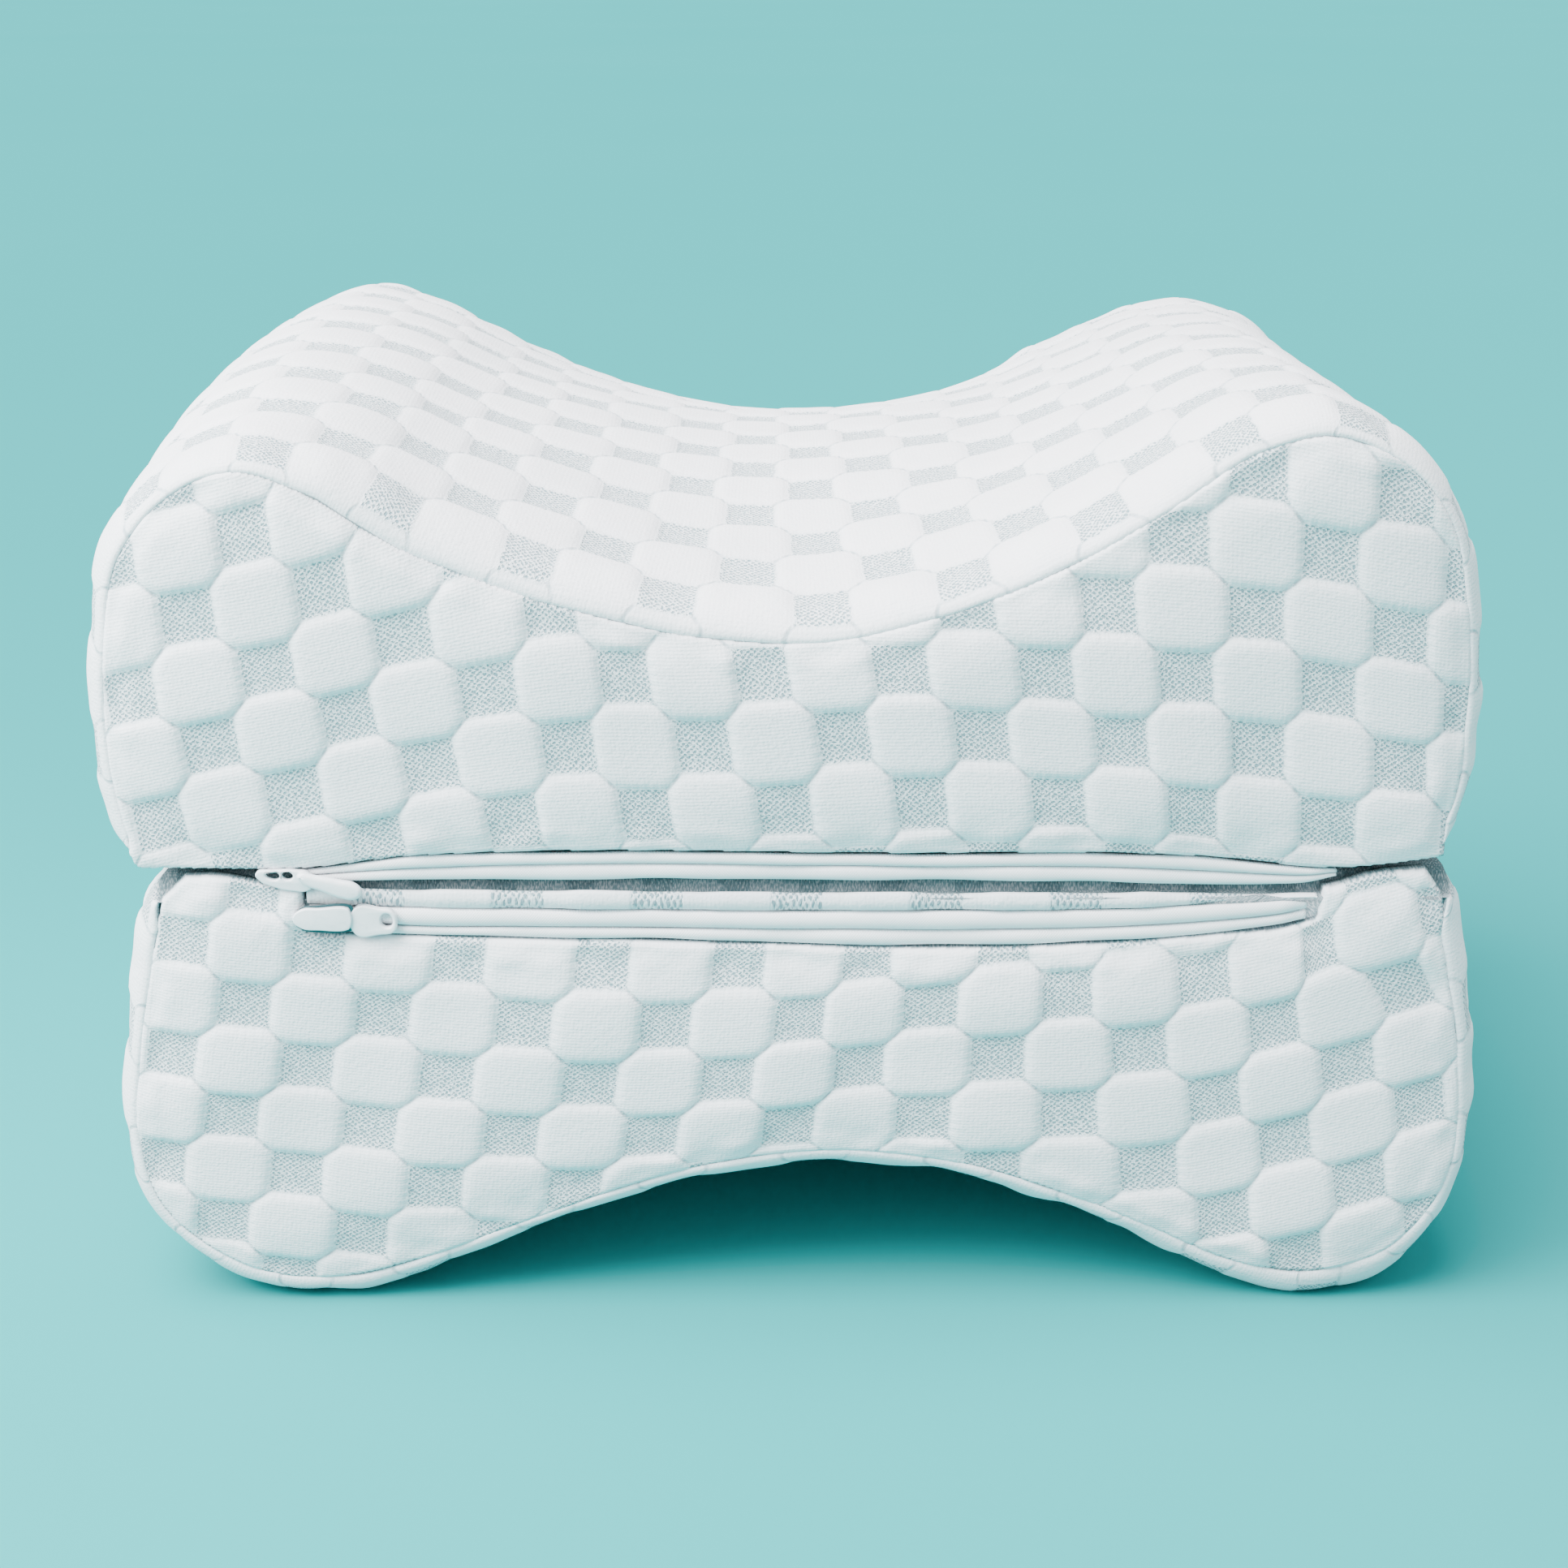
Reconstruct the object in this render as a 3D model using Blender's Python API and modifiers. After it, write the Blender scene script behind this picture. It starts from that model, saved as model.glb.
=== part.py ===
"""Knee pillow: two contoured foam halves in zipped covers, stacked on their flat faces.

The upper half has a saddle between two ridges, and the lower half stands on two feet with an arch
between them. Each cover is a band round the foam, a front panel and a back panel, all in a knit of
raised octagonal cushions and flat squares set like a checkerboard. A zip runs along the front of
each half at its flat face, with its slider at the left end.

X is the width, Y the depth from front to back, Z the height. Sizes are in millimetres and become
metres when a mesh is made.
"""
import bpy
import bmesh
import numpy as np
from math import ceil, cos, floor, radians, sin

MM = 0.001
GAP = 0.3
NORMAL_STEP = 0.4

# Overall sizes
DEPTH = 200.0
SPLIT_HEIGHT = 84.5
FOAM_END = 94.6
PANEL_BACK = FOAM_END + GAP

# Shape of the band along the depth: it rounds in to its seams and is fuller at mid depth
EDGE_START = 84.0
SEAM_PLACE = 98.0
SEAM_INSET = 4.3
FULLNESS_END = 86.0

# Knit: cushions and flat squares alternate on a grid of half pitches
HALF_PITCH_ACROSS = 12.7
HALF_PITCH_ALONG = 12.5
FLAT_SQUARE_HALF = 4.8
CUSHION_RISE = 1.7
FIRST_FLAT_SQUARE_X = 4.6
FIRST_FLAT_SQUARE_Y = -92.0
LINE_MARGIN = 0.9

# Front and back panels
PANEL_RIM = 1.3
PANEL_CROWN = 2.1
PANEL_CROWN_REACH = 10.0
PANEL_INSET = 1.9
PANEL_HALF_WIDTH = 142.0
PANEL_HALF_HEIGHT = 62.0
BACK_KNIT_HEIGHT = 30.0
OUTLINE_STEPS = 84

# Front panels: the upper one ends in a fold over its zip, and the lower one is open along its zip
UPPER_PANEL_FOLD = 90.2
UPPER_KNIT_PLACE = (5.2, 124.6)
LOWER_KNIT_PLACE = (-12.0, 58.0)
LOWER_OPENING = (-94.0, 95.0)

# Strip of knit between the lower zip and the flat face
FACING_TOP = 83.7
FACING_FRONT = 97.6
FACING_RISE = 0.8
FACING_CORNER = 1.1

# Zip tapes, sliders and pulls
TAPE_FRONT = 97.7
TAPE_CORNER = 0.7
TAPE_DROP = 1.9
ZIP_STEPS = 22
SLIDER_SIZE = (8.2, 2.0, 4.4)
SLIDER_BEVEL = 0.6
PULL_SIZE = (10.2, 1.1, 4.6)
PULL_BEVEL = 0.3

# Columns: slider x, slider z, side of the pull, pull z, share of the pull's height at its right end
ZIP_HARDWARE = {"upper": (-92.0, 86.7, 1, 85.4, 0.55), "lower": (-76.2, 78.1, -1, 78.7, 1.0)}

# Profiles of the band at the front and at the back of the foam, seen from the front.
# Columns: name, x and z at the front, x and z at the back, fullness at mid depth
UPPER_PROFILE = [
    ("base left", -117.5, 84.65, -117.5, 84.65, 0.0),
    ("heel left", -124.0, 89.5, -124.0, 89.5, 0.0),
    ("side left low", -126.6, 98.5, -126.4, 98.5, 0.0),
    ("side left", -127.8, 114.0, -127.6, 114.0, 0.0),
    ("side left high", -126.7, 130.0, -127.2, 131.0, 0.8),
    ("shoulder left", -122.3, 147.0, -123.6, 148.5, 4.5),
    ("brow left", -112.5, 158.3, -114.5, 161.0, 5.5),
    ("ridge left", -97.5, 164.4, -99.5, 167.3, 3.5),
    ("ridge left in", -82.0, 161.9, -84.0, 163.6, 4.5),
    ("slope left", -64.0, 153.2, -64.0, 153.8, 6.0),
    ("slope left low", -44.0, 145.0, -44.0, 145.2, 8.0),
    ("dip left", -22.0, 138.2, -22.0, 138.6, 10.5),
    ("saddle", 2.0, 135.8, 1.0, 136.0, 12.0),
    ("dip right", 24.0, 140.2, 24.0, 138.6, 10.8),
    ("slope right low", 44.0, 147.9, 44.0, 145.0, 8.0),
    ("slope right", 62.0, 158.6, 62.0, 154.4, 5.2),
    ("ridge right in", 77.0, 168.4, 78.0, 161.4, 2.8),
    ("ridge right", 91.5, 171.1, 93.0, 163.7, 0.8),
    ("brow right", 108.0, 165.0, 108.0, 160.0, -1.0),
    ("shoulder right", 118.4, 152.0, 118.4, 148.5, -1.8),
    ("side right high", 122.3, 134.0, 122.0, 132.0, -0.8),
    ("side right", 123.2, 114.0, 122.8, 114.0, 0.0),
    ("side right low", 122.0, 98.5, 121.8, 98.5, 0.0),
    ("heel right", 120.6, 89.5, 120.4, 89.5, 0.0),
    ("base right", 114.5, 84.65, 114.5, 84.65, 0.0),
]
LOWER_PROFILE = [
    ("base left", -113.5, 84.35, -113.5, 84.35, 0.0),
    ("rim left", -119.5, 79.0, -119.5, 79.0, 0.0),
    ("side left high", -123.6, 67.0, -123.6, 67.0, 0.0),
    ("side left", -126.6, 51.0, -126.6, 51.0, 0.0),
    ("side left low", -128.2, 35.0, -128.2, 35.0, 0.0),
    ("calf left", -124.8, 18.5, -124.8, 18.5, 0.0),
    ("toe left", -114.0, 5.0, -114.0, 5.0, 0.0),
    ("foot left", -99.0, -1.6, -99.0, -1.6, 0.0),
    ("foot left in", -84.0, -1.2, -84.0, -1.2, 0.5),
    ("rise left", -67.0, 4.0, -67.0, 4.0, 2.5),
    ("arch left", -48.0, 12.4, -48.0, 12.4, 5.0),
    ("arch left high", -26.0, 20.8, -26.0, 20.8, 7.5),
    ("arch", -2.0, 25.5, -2.0, 25.5, 9.0),
    ("arch right high", 20.0, 25.1, 20.0, 25.1, 8.2),
    ("arch right", 42.0, 19.8, 42.0, 19.8, 6.0),
    ("rise right", 62.0, 11.2, 62.0, 11.2, 3.2),
    ("foot right in", 81.0, 1.4, 81.0, 1.4, 1.0),
    ("foot right", 96.5, -2.6, 96.5, -2.6, 0.0),
    ("toe right", 112.0, 1.8, 112.0, 1.8, 0.0),
    ("calf right", 123.2, 12.8, 123.2, 12.8, 0.0),
    ("side right low", 128.0, 28.0, 128.0, 28.0, 0.0),
    ("side right", 128.2, 46.0, 128.2, 46.0, 0.0),
    ("side right high", 125.4, 66.0, 125.4, 66.0, 0.0),
    ("rim right", 121.6, 78.5, 121.6, 78.5, 0.0),
    ("base right", 116.0, 84.35, 116.0, 84.35, 0.0),
]

# How the knit's rows lean across each front panel.
# Columns: x, angle of the rows in degrees, up to the right is positive
UPPER_ROW_LEAN = [(-130.0, 13.0), (-50.0, 12.0), (0.0, 3.5), (40.0, -1.0), (95.0, -6.0), (130.0, -7.0)]
LOWER_ROW_LEAN = [(-130.0, -6.0), (-50.0, -2.5), (-10.0, 1.5), (30.0, 4.7), (70.0, 8.5), (130.0, 15.0)]
LEVEL_ROWS = [(-130.0, 0.0), (130.0, 0.0)]

# Line between the two tapes of each zip and the top of the upper tape. Columns: x, line z, top z
UPPER_ZIP_LINE = [(-99.5, 88.0, 89.9), (-50.0, 87.5, 89.8), (2.0, 87.3, 89.7), (60.0, 87.5, 89.8),
                  (93.0, 88.0, 89.9)]
LOWER_ZIP_LINE = [(-92.0, 77.0, 80.6), (-72.0, 76.2, 80.0), (-30.0, 75.2, 78.9), (2.0, 74.8, 78.5),
                  (50.0, 75.6, 79.2), (76.0, 77.2, 80.2), (92.5, 78.6, 81.1)]


def smooth(value):
    """Ease from 0 to 1."""
    value = np.clip(value, 0.0, 1.0)
    return value * value * (3.0 - 2.0 * value)


def through_points(points, places, at):
    """Smooth curve through points that stand at the given places, read at other places."""
    points = np.asarray(points, float)
    places = np.asarray(places, float)
    at = np.clip(at, places[0], places[-1])
    steps = np.diff(places)[:, None]
    slopes = np.diff(points, axis=0) / steps
    tangents = np.empty_like(points)
    tangents[0] = slopes[0]
    tangents[-1] = slopes[-1]
    tangents[1:-1] = (slopes[:-1] * steps[1:] + slopes[1:] * steps[:-1]) / (steps[1:] + steps[:-1])
    span = np.clip(np.searchsorted(places, at, side="right") - 1, 0, len(places) - 2)
    width = (places[span + 1] - places[span])[:, None]
    t = ((at - places[span])[:, None]) / width
    return ((2 * t**3 - 3 * t**2 + 1) * points[span] + (t**3 - 2 * t**2 + t) * width * tangents[span]
            + (3 * t**2 - 2 * t**3) * points[span + 1] + (t**3 - t**2) * width * tangents[span + 1])


def zip_heights(line, x):
    """Heights at x of the line between a zip's tapes and of the upper tape's top."""
    line = np.asarray(line, float)
    return through_points(line[:, 1:], line[:, 0], np.atleast_1d(float(x)))[0]


class Half:
    """One half of the pillow: its band's profile, read by distance round the band."""

    def __init__(self, name, profile, up):
        self.name = name
        self.up = up
        self.base = SPLIT_HEIGHT + up * GAP / 2
        table = np.array([row[1:] for row in profile], float)
        self.front = table[:, :2]
        self.back = table[:, 2:4]
        self.fullness = table[:, 4:]
        middle = (self.front + self.back) / 2
        chords = np.linalg.norm(np.diff(middle, axis=0), axis=1)
        self.places = np.concatenate([[0.0], np.cumsum(chords)])
        fine = np.linspace(0.0, self.places[-1], 2000)
        curve = through_points(middle, self.places, fine)
        run = np.concatenate([[0.0], np.cumsum(np.linalg.norm(np.diff(curve, axis=0), axis=1))])
        self.length = run[-1]
        self._fine = fine
        self._run = run
        centre = np.argmin(np.abs(curve[:, 0] - FIRST_FLAT_SQUARE_X))
        self.lattice_start = run[centre]

    def section(self, distances, y):
        """Points (x, z) of the band and their outward normals, at a depth y."""
        at = np.interp(distances, self._run, self._fine)
        points, normals = self._straight_section(at, y)
        share = max(0.0, 1.0 - (y / FULLNESS_END) ** 2)
        fullness = through_points(self.fullness, self.places, at) * share
        return points + normals * (fullness - edge_inset(y)), normals

    def _straight_section(self, at, y):
        """Section between the front and back profiles, without fullness or rounding."""
        share = np.clip((y + FULLNESS_END) / (2 * FULLNESS_END), 0.0, 1.0)
        points, ahead, behind = (
            through_points(self.front + (self.back - self.front) * share, self.places, place)
            for place in (at, at + NORMAL_STEP, at - NORMAL_STEP))
        along = ahead - behind
        along /= np.linalg.norm(along, axis=1)[:, None]
        return points, self.up * np.column_stack([-along[:, 1], along[:, 0]])

    def outline(self, side, inset=PANEL_INSET):
        """Closed outline (x, z) of the half at its front or back seam, moved inward."""
        distances = np.linspace(0.0, self.length, OUTLINE_STEPS)
        points, normals = self.section(distances, side * FOAM_END)
        points = points - normals * inset
        inside = self.up * (points[:, 1] - self.base)
        points[:, 1] = self.base + self.up * np.maximum(inside, inset / 2)
        return points


def edge_inset(y):
    """How far the band has rounded in towards its seam at a depth y."""
    share = np.clip((abs(y) - EDGE_START) / (SEAM_PLACE - EDGE_START), 0.0, 1.0)
    return SEAM_INSET * (1.0 - np.sqrt(1.0 - share * share))


def knit_lines(low, high, origin, half_pitch, half_square):
    """Grid lines of the knit from low to high, each with the number of the cell that it bounds."""
    first = floor((low - origin) / half_pitch) - 1
    last = ceil((high - origin) / half_pitch) + 1
    lines = [(low, round((low - origin) / half_pitch))]
    for cell in range(first, last + 1):
        for side in (-1, 1):
            place = origin + cell * half_pitch + side * half_square
            if low + LINE_MARGIN < place < high - LINE_MARGIN:
                lines.append((place, cell))
    lines.append((high, round((high - origin) / half_pitch)))
    return lines


def is_cushion(column, row):
    """Cushions and flat squares alternate."""
    return (column + row) % 2 == 1


def grid_faces(heights, flip):
    """Triangles of a grid, each square split so that the groove between two cushions stays low."""
    rows, columns = heights.shape
    faces = []
    for r in range(rows - 1):
        for c in range(columns - 1):
            a, b = r * columns + c, r * columns + c + 1
            d, e = (r + 1) * columns + c, (r + 1) * columns + c + 1
            if heights[r, c] + heights[r + 1, c + 1] < heights[r, c + 1] + heights[r + 1, c]:
                faces += [(a, b, e), (a, e, d)]
            else:
                faces += [(a, b, d), (b, e, d)]
    return [face[::-1] for face in faces] if flip else faces


def make_object(name, points, faces, collection):
    """New object from points in millimetres."""
    mesh = bpy.data.meshes.new(name)
    mesh.from_pydata([tuple(float(v) * MM for v in p) for p in points], [], faces)
    mesh.validate()
    made = bpy.data.objects.new(name, mesh)
    collection.objects.link(made)
    work = bmesh.new()
    work.from_mesh(mesh)
    bmesh.ops.recalc_face_normals(work, faces=work.faces)
    work.to_mesh(mesh)
    work.free()
    return made


def material(name, colour, roughness, metallic=0.0):
    """Plain finish."""
    made = bpy.data.materials.new(name)
    made.use_nodes = True
    shader = made.node_tree.nodes["Principled BSDF"]
    shader.inputs["Base Color"].default_value = (*colour, 1.0)
    shader.inputs["Roughness"].default_value = roughness
    shader.inputs["Metallic"].default_value = metallic
    return made


def finish(made, look):
    """Give every piece of a list the same material."""
    for piece in made:
        piece.data.materials.append(look)


def cushion(half, collection):
    """Filled half: foam in its band, the knit raised on the outer side, the ends and base flat."""
    columns = knit_lines(0.0, half.length, half.lattice_start, HALF_PITCH_ACROSS, FLAT_SQUARE_HALF)
    rows = knit_lines(-FOAM_END, FOAM_END, FIRST_FLAT_SQUARE_Y, HALF_PITCH_ALONG, FLAT_SQUARE_HALF)
    distances = np.array([place for place, _ in columns])
    points = []
    heights = np.zeros((len(rows), len(columns)))
    for r, (y, row) in enumerate(rows):
        section, normals = half.section(distances, y)
        for c, (_, column) in enumerate(columns):
            rise = 0.0 if is_cushion(column, row) else -CUSHION_RISE
            heights[r, c] = rise
            at_base = c in (0, len(columns) - 1)
            x, z = section[c] if at_base else section[c] + normals[c] * rise
            points.append((x, y, half.base if at_base else max(z, 0.0)))
    faces = grid_faces(heights, flip=False)
    count = len(columns)
    for r in range(len(rows) - 1):
        faces.append((r * count, (r + 1) * count, (r + 2) * count - 1, (r + 1) * count - 1))
    faces.append(tuple(range(count)))
    faces.append(tuple(range(len(rows) * count - 1, (len(rows) - 1) * count - 1, -1)))
    return make_object(half.name + "_cushion", points, faces, collection)


def depth_inside(points, outline):
    """Distance of each point (x, z) inside a closed outline, negative outside it."""
    starts = outline
    ends = np.roll(outline, -1, axis=0)
    sides = ends - starts
    away = points[:, None, :] - starts[None, :, :]
    share = np.clip((away * sides).sum(axis=2) / (sides * sides).sum(axis=1), 0.0, 1.0)
    nearest = np.linalg.norm(away - share[..., None] * sides, axis=2).min(axis=1)
    crosses = (starts[:, 1] > points[:, None, 1]) != (ends[:, 1] > points[:, None, 1])
    rise = np.where(np.abs(sides[:, 1]) < 1e-9, 1e-9, sides[:, 1])
    reach = starts[:, 0] + (points[:, None, 1] - starts[:, 1]) * sides[:, 0] / rise
    inside = (crosses & (points[:, None, 0] < reach)).sum(axis=1) % 2 == 1
    return np.where(inside, nearest, -nearest)


def leaning_rows(lean, start, columns, rows):
    """Places (x, z) of a knit whose rows lean by the table and whose columns stand square to them."""
    lean = np.array(lean, float)
    spine = {}
    for way in (1, -1):
        place = np.array(start, float)
        run = 0.0
        spine[0.0] = (place.copy(), radians(np.interp(place[0], lean[:, 0], lean[:, 1])))
        while abs(run) < PANEL_HALF_WIDTH + 2.0:
            angle = radians(np.interp(place[0], lean[:, 0], lean[:, 1]))
            place = place + way * np.array([cos(angle), sin(angle)])
            run += way
            spine[run] = (place.copy(), angle)
    runs = np.array(sorted(spine))
    centres = np.array([spine[r][0] for r in runs])
    angles = np.array([spine[r][1] for r in runs])
    grid = np.zeros((len(rows), len(columns), 2))
    for c, (along, _) in enumerate(columns):
        cx, cz = (np.interp(along, runs, centres[:, k]) for k in (0, 1))
        angle = np.interp(along, runs, angles)
        for r, (up, _) in enumerate(rows):
            grid[r, c] = (cx - up * sin(angle), cz + up * cos(angle))
    return grid


def prism(name, outline, y_from, y_to, collection):
    """Outline (x, z) carried from one depth to another."""
    count = len(outline)
    points = [(x, y, z) for y in (y_from, y_to) for x, z in outline]
    faces = [tuple(range(count)), tuple(range(2 * count - 1, count - 1, -1))]
    faces += [(k, (k + 1) % count, count + (k + 1) % count, count + k) for k in range(count)]
    return make_object(name, points, faces, collection)


def panel(name, outline, full_outline, lean, place, side, collection, cutters):
    """Quilted end panel: a slab with the knit raised on it, cut to the outline.

    side is -1 for the front and 1 for the back, and place is the middle of one raised cushion.
    """
    columns = knit_lines(-PANEL_HALF_WIDTH, PANEL_HALF_WIDTH, 0.0, HALF_PITCH_ACROSS, FLAT_SQUARE_HALF)
    rows = knit_lines(-PANEL_HALF_HEIGHT, PANEL_HALF_HEIGHT, 0.0, HALF_PITCH_ALONG, FLAT_SQUARE_HALF)
    grid = leaning_rows(lean, place, columns, rows)
    inside = depth_inside(grid.reshape(-1, 2), full_outline).reshape(grid.shape[:2])
    heights = np.zeros(inside.shape)
    points = []
    for r, (_, row) in enumerate(rows):
        for c, (_, column) in enumerate(columns):
            share = float(smooth(inside[r, c] / PANEL_CROWN_REACH))
            raised = CUSHION_RISE if (column + row) % 2 == 0 else 0.0
            heights[r, c] = raised
            out = PANEL_BACK + PANEL_RIM + PANEL_CROWN * share + raised * (0.25 + 0.75 * share)
            points.append((grid[r, c, 0], side * min(out, DEPTH / 2), grid[r, c, 1]))
    faces = grid_faces(heights, flip=False)
    wide, tall = len(columns), len(rows)
    rim = [(0, c) for c in range(wide)] + [(r, wide - 1) for r in range(1, tall)]
    rim += [(tall - 1, c) for c in range(wide - 2, -1, -1)] + [(r, 0) for r in range(tall - 2, 0, -1)]
    first = len(points)
    points += [(grid[r, c, 0], side * PANEL_BACK, grid[r, c, 1]) for r, c in rim]
    for k, (r, c) in enumerate(rim):
        r_next, c_next = rim[(k + 1) % len(rim)]
        k_next = (k + 1) % len(rim)
        faces.append((r * wide + c, first + k, first + k_next, r_next * wide + c_next))
    faces.append(tuple(range(first, first + len(rim))))
    made = make_object(name, points, faces, collection)
    cutter = prism(name + "_outline", outline, side * (PANEL_BACK - 5.0), side * (DEPTH / 2 + 5.0), cutters)
    cutter.hide_render = True
    cutter.display_type = "WIRE"
    cut = made.modifiers.new("outline", "BOOLEAN")
    cut.operation = "INTERSECT"
    cut.solver = "EXACT"
    cut.object = cutter
    return made


def strip(name, x_places, section_at, collection):
    """Solid strip along X: a closed section (y, z) at each place."""
    sections = [section_at(x) for x in x_places]
    count = len(sections[0])
    points = [(x, y, z) for x, section in zip(x_places, sections) for y, z in section]
    faces = []
    for k in range(len(x_places) - 1):
        for n in range(count):
            m = (n + 1) % count
            faces.append((k * count + n, k * count + m, (k + 1) * count + m, (k + 1) * count + n))
    faces.append(tuple(range(count)))
    faces.append(tuple(range(len(points) - 1, len(points) - count - 1, -1)))
    return make_object(name, points, faces, collection)


def rounded_section(y_back, y_front, z_low, z_high, corner):
    """Section (y, z) with its two front corners rounded."""
    return [(y_back, z_low), (y_front + corner, z_low), (y_front + corner * 0.3, z_low + corner * 0.3),
            (y_front, z_low + corner), (y_front, z_high - corner),
            (y_front + corner * 0.3, z_high - corner * 0.3), (y_front + corner, z_high), (y_back, z_high)]


def block(name, size, place, bevel, collection, narrow=1.0):
    """Small rounded block, its right end narrowed."""
    bpy.ops.mesh.primitive_cube_add(size=1.0)
    made = bpy.context.active_object
    made.name = name
    made.data.name = name
    for vertex in made.data.vertices:
        share = narrow if vertex.co.x > 0 else 1.0
        vertex.co.x *= size[0] * MM
        vertex.co.y *= size[1] * MM
        vertex.co.z *= size[2] * MM * share
    made.location = [value * MM for value in place]
    rounding = made.modifiers.new("rounding", "BEVEL")
    rounding.width = bevel * MM
    rounding.segments = 2
    for holder in list(made.users_collection):
        holder.objects.unlink(made)
    collection.objects.link(made)
    return made


def front_panels(upper, lower, parts, cutters):
    """Front panel of each half, open along its zip."""
    full = upper.outline(-1)
    outline = full.copy()
    outline[:, 1] = np.maximum(outline[:, 1], UPPER_PANEL_FOLD)
    keep = np.linalg.norm(outline - np.roll(outline, 1, axis=0), axis=1) > 0.5
    made = [panel("upper_front_panel", outline[keep], full, UPPER_ROW_LEAN, UPPER_KNIT_PLACE, -1,
                  parts, cutters)]

    full = lower.outline(-1)
    left, right = LOWER_OPENING
    zip_side = [(x, zip_heights(LOWER_ZIP_LINE, x)[0] - TAPE_DROP - GAP)
                for x in np.linspace(right, left, ZIP_STEPS)]
    top = lower.base - PANEL_INSET / 2
    outline = np.vstack([full, [(right, top)], zip_side, [(left, top)]])
    made.append(panel("lower_front_panel", outline, full, LOWER_ROW_LEAN, LOWER_KNIT_PLACE, -1,
                      parts, cutters))
    return made


def back_panels(upper, lower, parts, cutters):
    """Plain closed panel behind each half."""
    made = []
    for half in (upper, lower):
        full = half.outline(1)
        place = (FIRST_FLAT_SQUARE_X + HALF_PITCH_ACROSS, half.base + half.up * BACK_KNIT_HEIGHT)
        made.append(panel(half.name + "_back_panel", full, full, LEVEL_ROWS, place, 1, parts, cutters))
    return made


def zip_facing(parts):
    """Strip of the band's knit that shows between the lower zip and the flat face."""
    left, right = LOWER_OPENING
    lines = knit_lines(left + GAP, right - GAP, FIRST_FLAT_SQUARE_X, HALF_PITCH_ACROSS, FLAT_SQUARE_HALF)
    raised = {place: column % 2 == 1 for place, column in lines}

    def section(x):
        front = -FACING_FRONT - (FACING_RISE if raised[x] else 0.0)
        low_edge = zip_heights(LOWER_ZIP_LINE, x)[1] + GAP
        top_edge = FACING_TOP - (0.0 if raised[x] else FACING_RISE)
        corner = min(FACING_CORNER, (top_edge - low_edge) * 0.45)
        return rounded_section(-PANEL_BACK, front, low_edge, top_edge, corner)

    return strip("lower_zip_facing", [place for place, _ in lines], section, parts)


def zip_tapes(parts):
    """Two folded tapes of each zip, which meet on its line."""
    made = []
    for name, line in (("upper", UPPER_ZIP_LINE), ("lower", LOWER_ZIP_LINE)):
        xs = list(np.linspace(line[0][0], line[-1][0], ZIP_STEPS))

        def over(x):
            z, top = zip_heights(line, x)
            return rounded_section(-PANEL_BACK, -TAPE_FRONT, z + GAP / 2, top, TAPE_CORNER)

        def under(x):
            z = zip_heights(line, x)[0]
            return rounded_section(-PANEL_BACK, -TAPE_FRONT, z - TAPE_DROP, z - GAP / 2, TAPE_CORNER * 0.8)

        made.append(strip(name + "_zip_tape_top", xs, over, parts))
        made.append(strip(name + "_zip_tape_bottom", xs, under, parts))
    return made


def zip_hardware(parts):
    """Slider on each zip's tapes, and the pull tab beside it."""
    made = []
    for name, (x, z, side, pull_z, narrow) in ZIP_HARDWARE.items():
        y = -(TAPE_FRONT + GAP + SLIDER_SIZE[1] / 2)
        made.append(block(name + "_zip_slider", SLIDER_SIZE, (x, y, z), SLIDER_BEVEL, parts))
        pull_x = x + side * (SLIDER_SIZE[0] / 2 + GAP + PULL_SIZE[0] / 2)
        pull_y = -(DEPTH - PULL_SIZE[1]) / 2
        place = (pull_x, pull_y, pull_z)
        made.append(block(name + "_zip_pull", PULL_SIZE, place, PULL_BEVEL, parts, narrow))
    return made


def main():
    for old in list(bpy.data.objects):
        bpy.data.objects.remove(old, do_unlink=True)
    parts = bpy.data.collections.new("knee_pillow")
    cutters = bpy.data.collections.new("cutters")
    bpy.context.scene.collection.children.link(parts)
    bpy.context.scene.collection.children.link(cutters)

    upper = Half("upper", UPPER_PROFILE, 1)
    lower = Half("lower", LOWER_PROFILE, -1)
    covers = [cushion(upper, parts), cushion(lower, parts)]
    covers += front_panels(upper, lower, parts, cutters)
    covers += back_panels(upper, lower, parts, cutters)
    covers.append(zip_facing(parts))

    finish(covers, material("white_knit", (0.83, 0.85, 0.88), 0.9))
    finish(zip_tapes(parts), material("white_tape", (0.86, 0.88, 0.9), 0.75))
    finish(zip_hardware(parts), material("white_zip_pull", (0.8, 0.82, 0.84), 0.4))


main()
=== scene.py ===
"""Looks of the knee pillow: the covers' quilted knit, their seams, the zips, floor, light and camera.

Sizes are in millimetres and become metres when a mesh is made.
"""
from math import cos, pi, radians, sin, sqrt

import bmesh
import bpy
import numpy as np
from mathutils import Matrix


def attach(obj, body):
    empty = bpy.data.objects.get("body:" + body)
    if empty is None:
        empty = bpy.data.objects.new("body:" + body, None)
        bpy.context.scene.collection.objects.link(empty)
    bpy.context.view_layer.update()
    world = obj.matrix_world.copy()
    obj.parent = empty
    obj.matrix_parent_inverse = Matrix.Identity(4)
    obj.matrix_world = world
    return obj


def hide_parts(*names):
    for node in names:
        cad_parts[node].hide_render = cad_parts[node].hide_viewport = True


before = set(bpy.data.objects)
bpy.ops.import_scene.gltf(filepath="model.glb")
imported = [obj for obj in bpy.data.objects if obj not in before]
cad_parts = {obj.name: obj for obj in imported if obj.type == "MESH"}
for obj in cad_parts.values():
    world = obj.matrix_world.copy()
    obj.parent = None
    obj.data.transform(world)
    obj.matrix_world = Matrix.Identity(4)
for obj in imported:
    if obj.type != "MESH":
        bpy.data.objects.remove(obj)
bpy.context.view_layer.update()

MM = 0.001
GAP = 0.3
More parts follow.
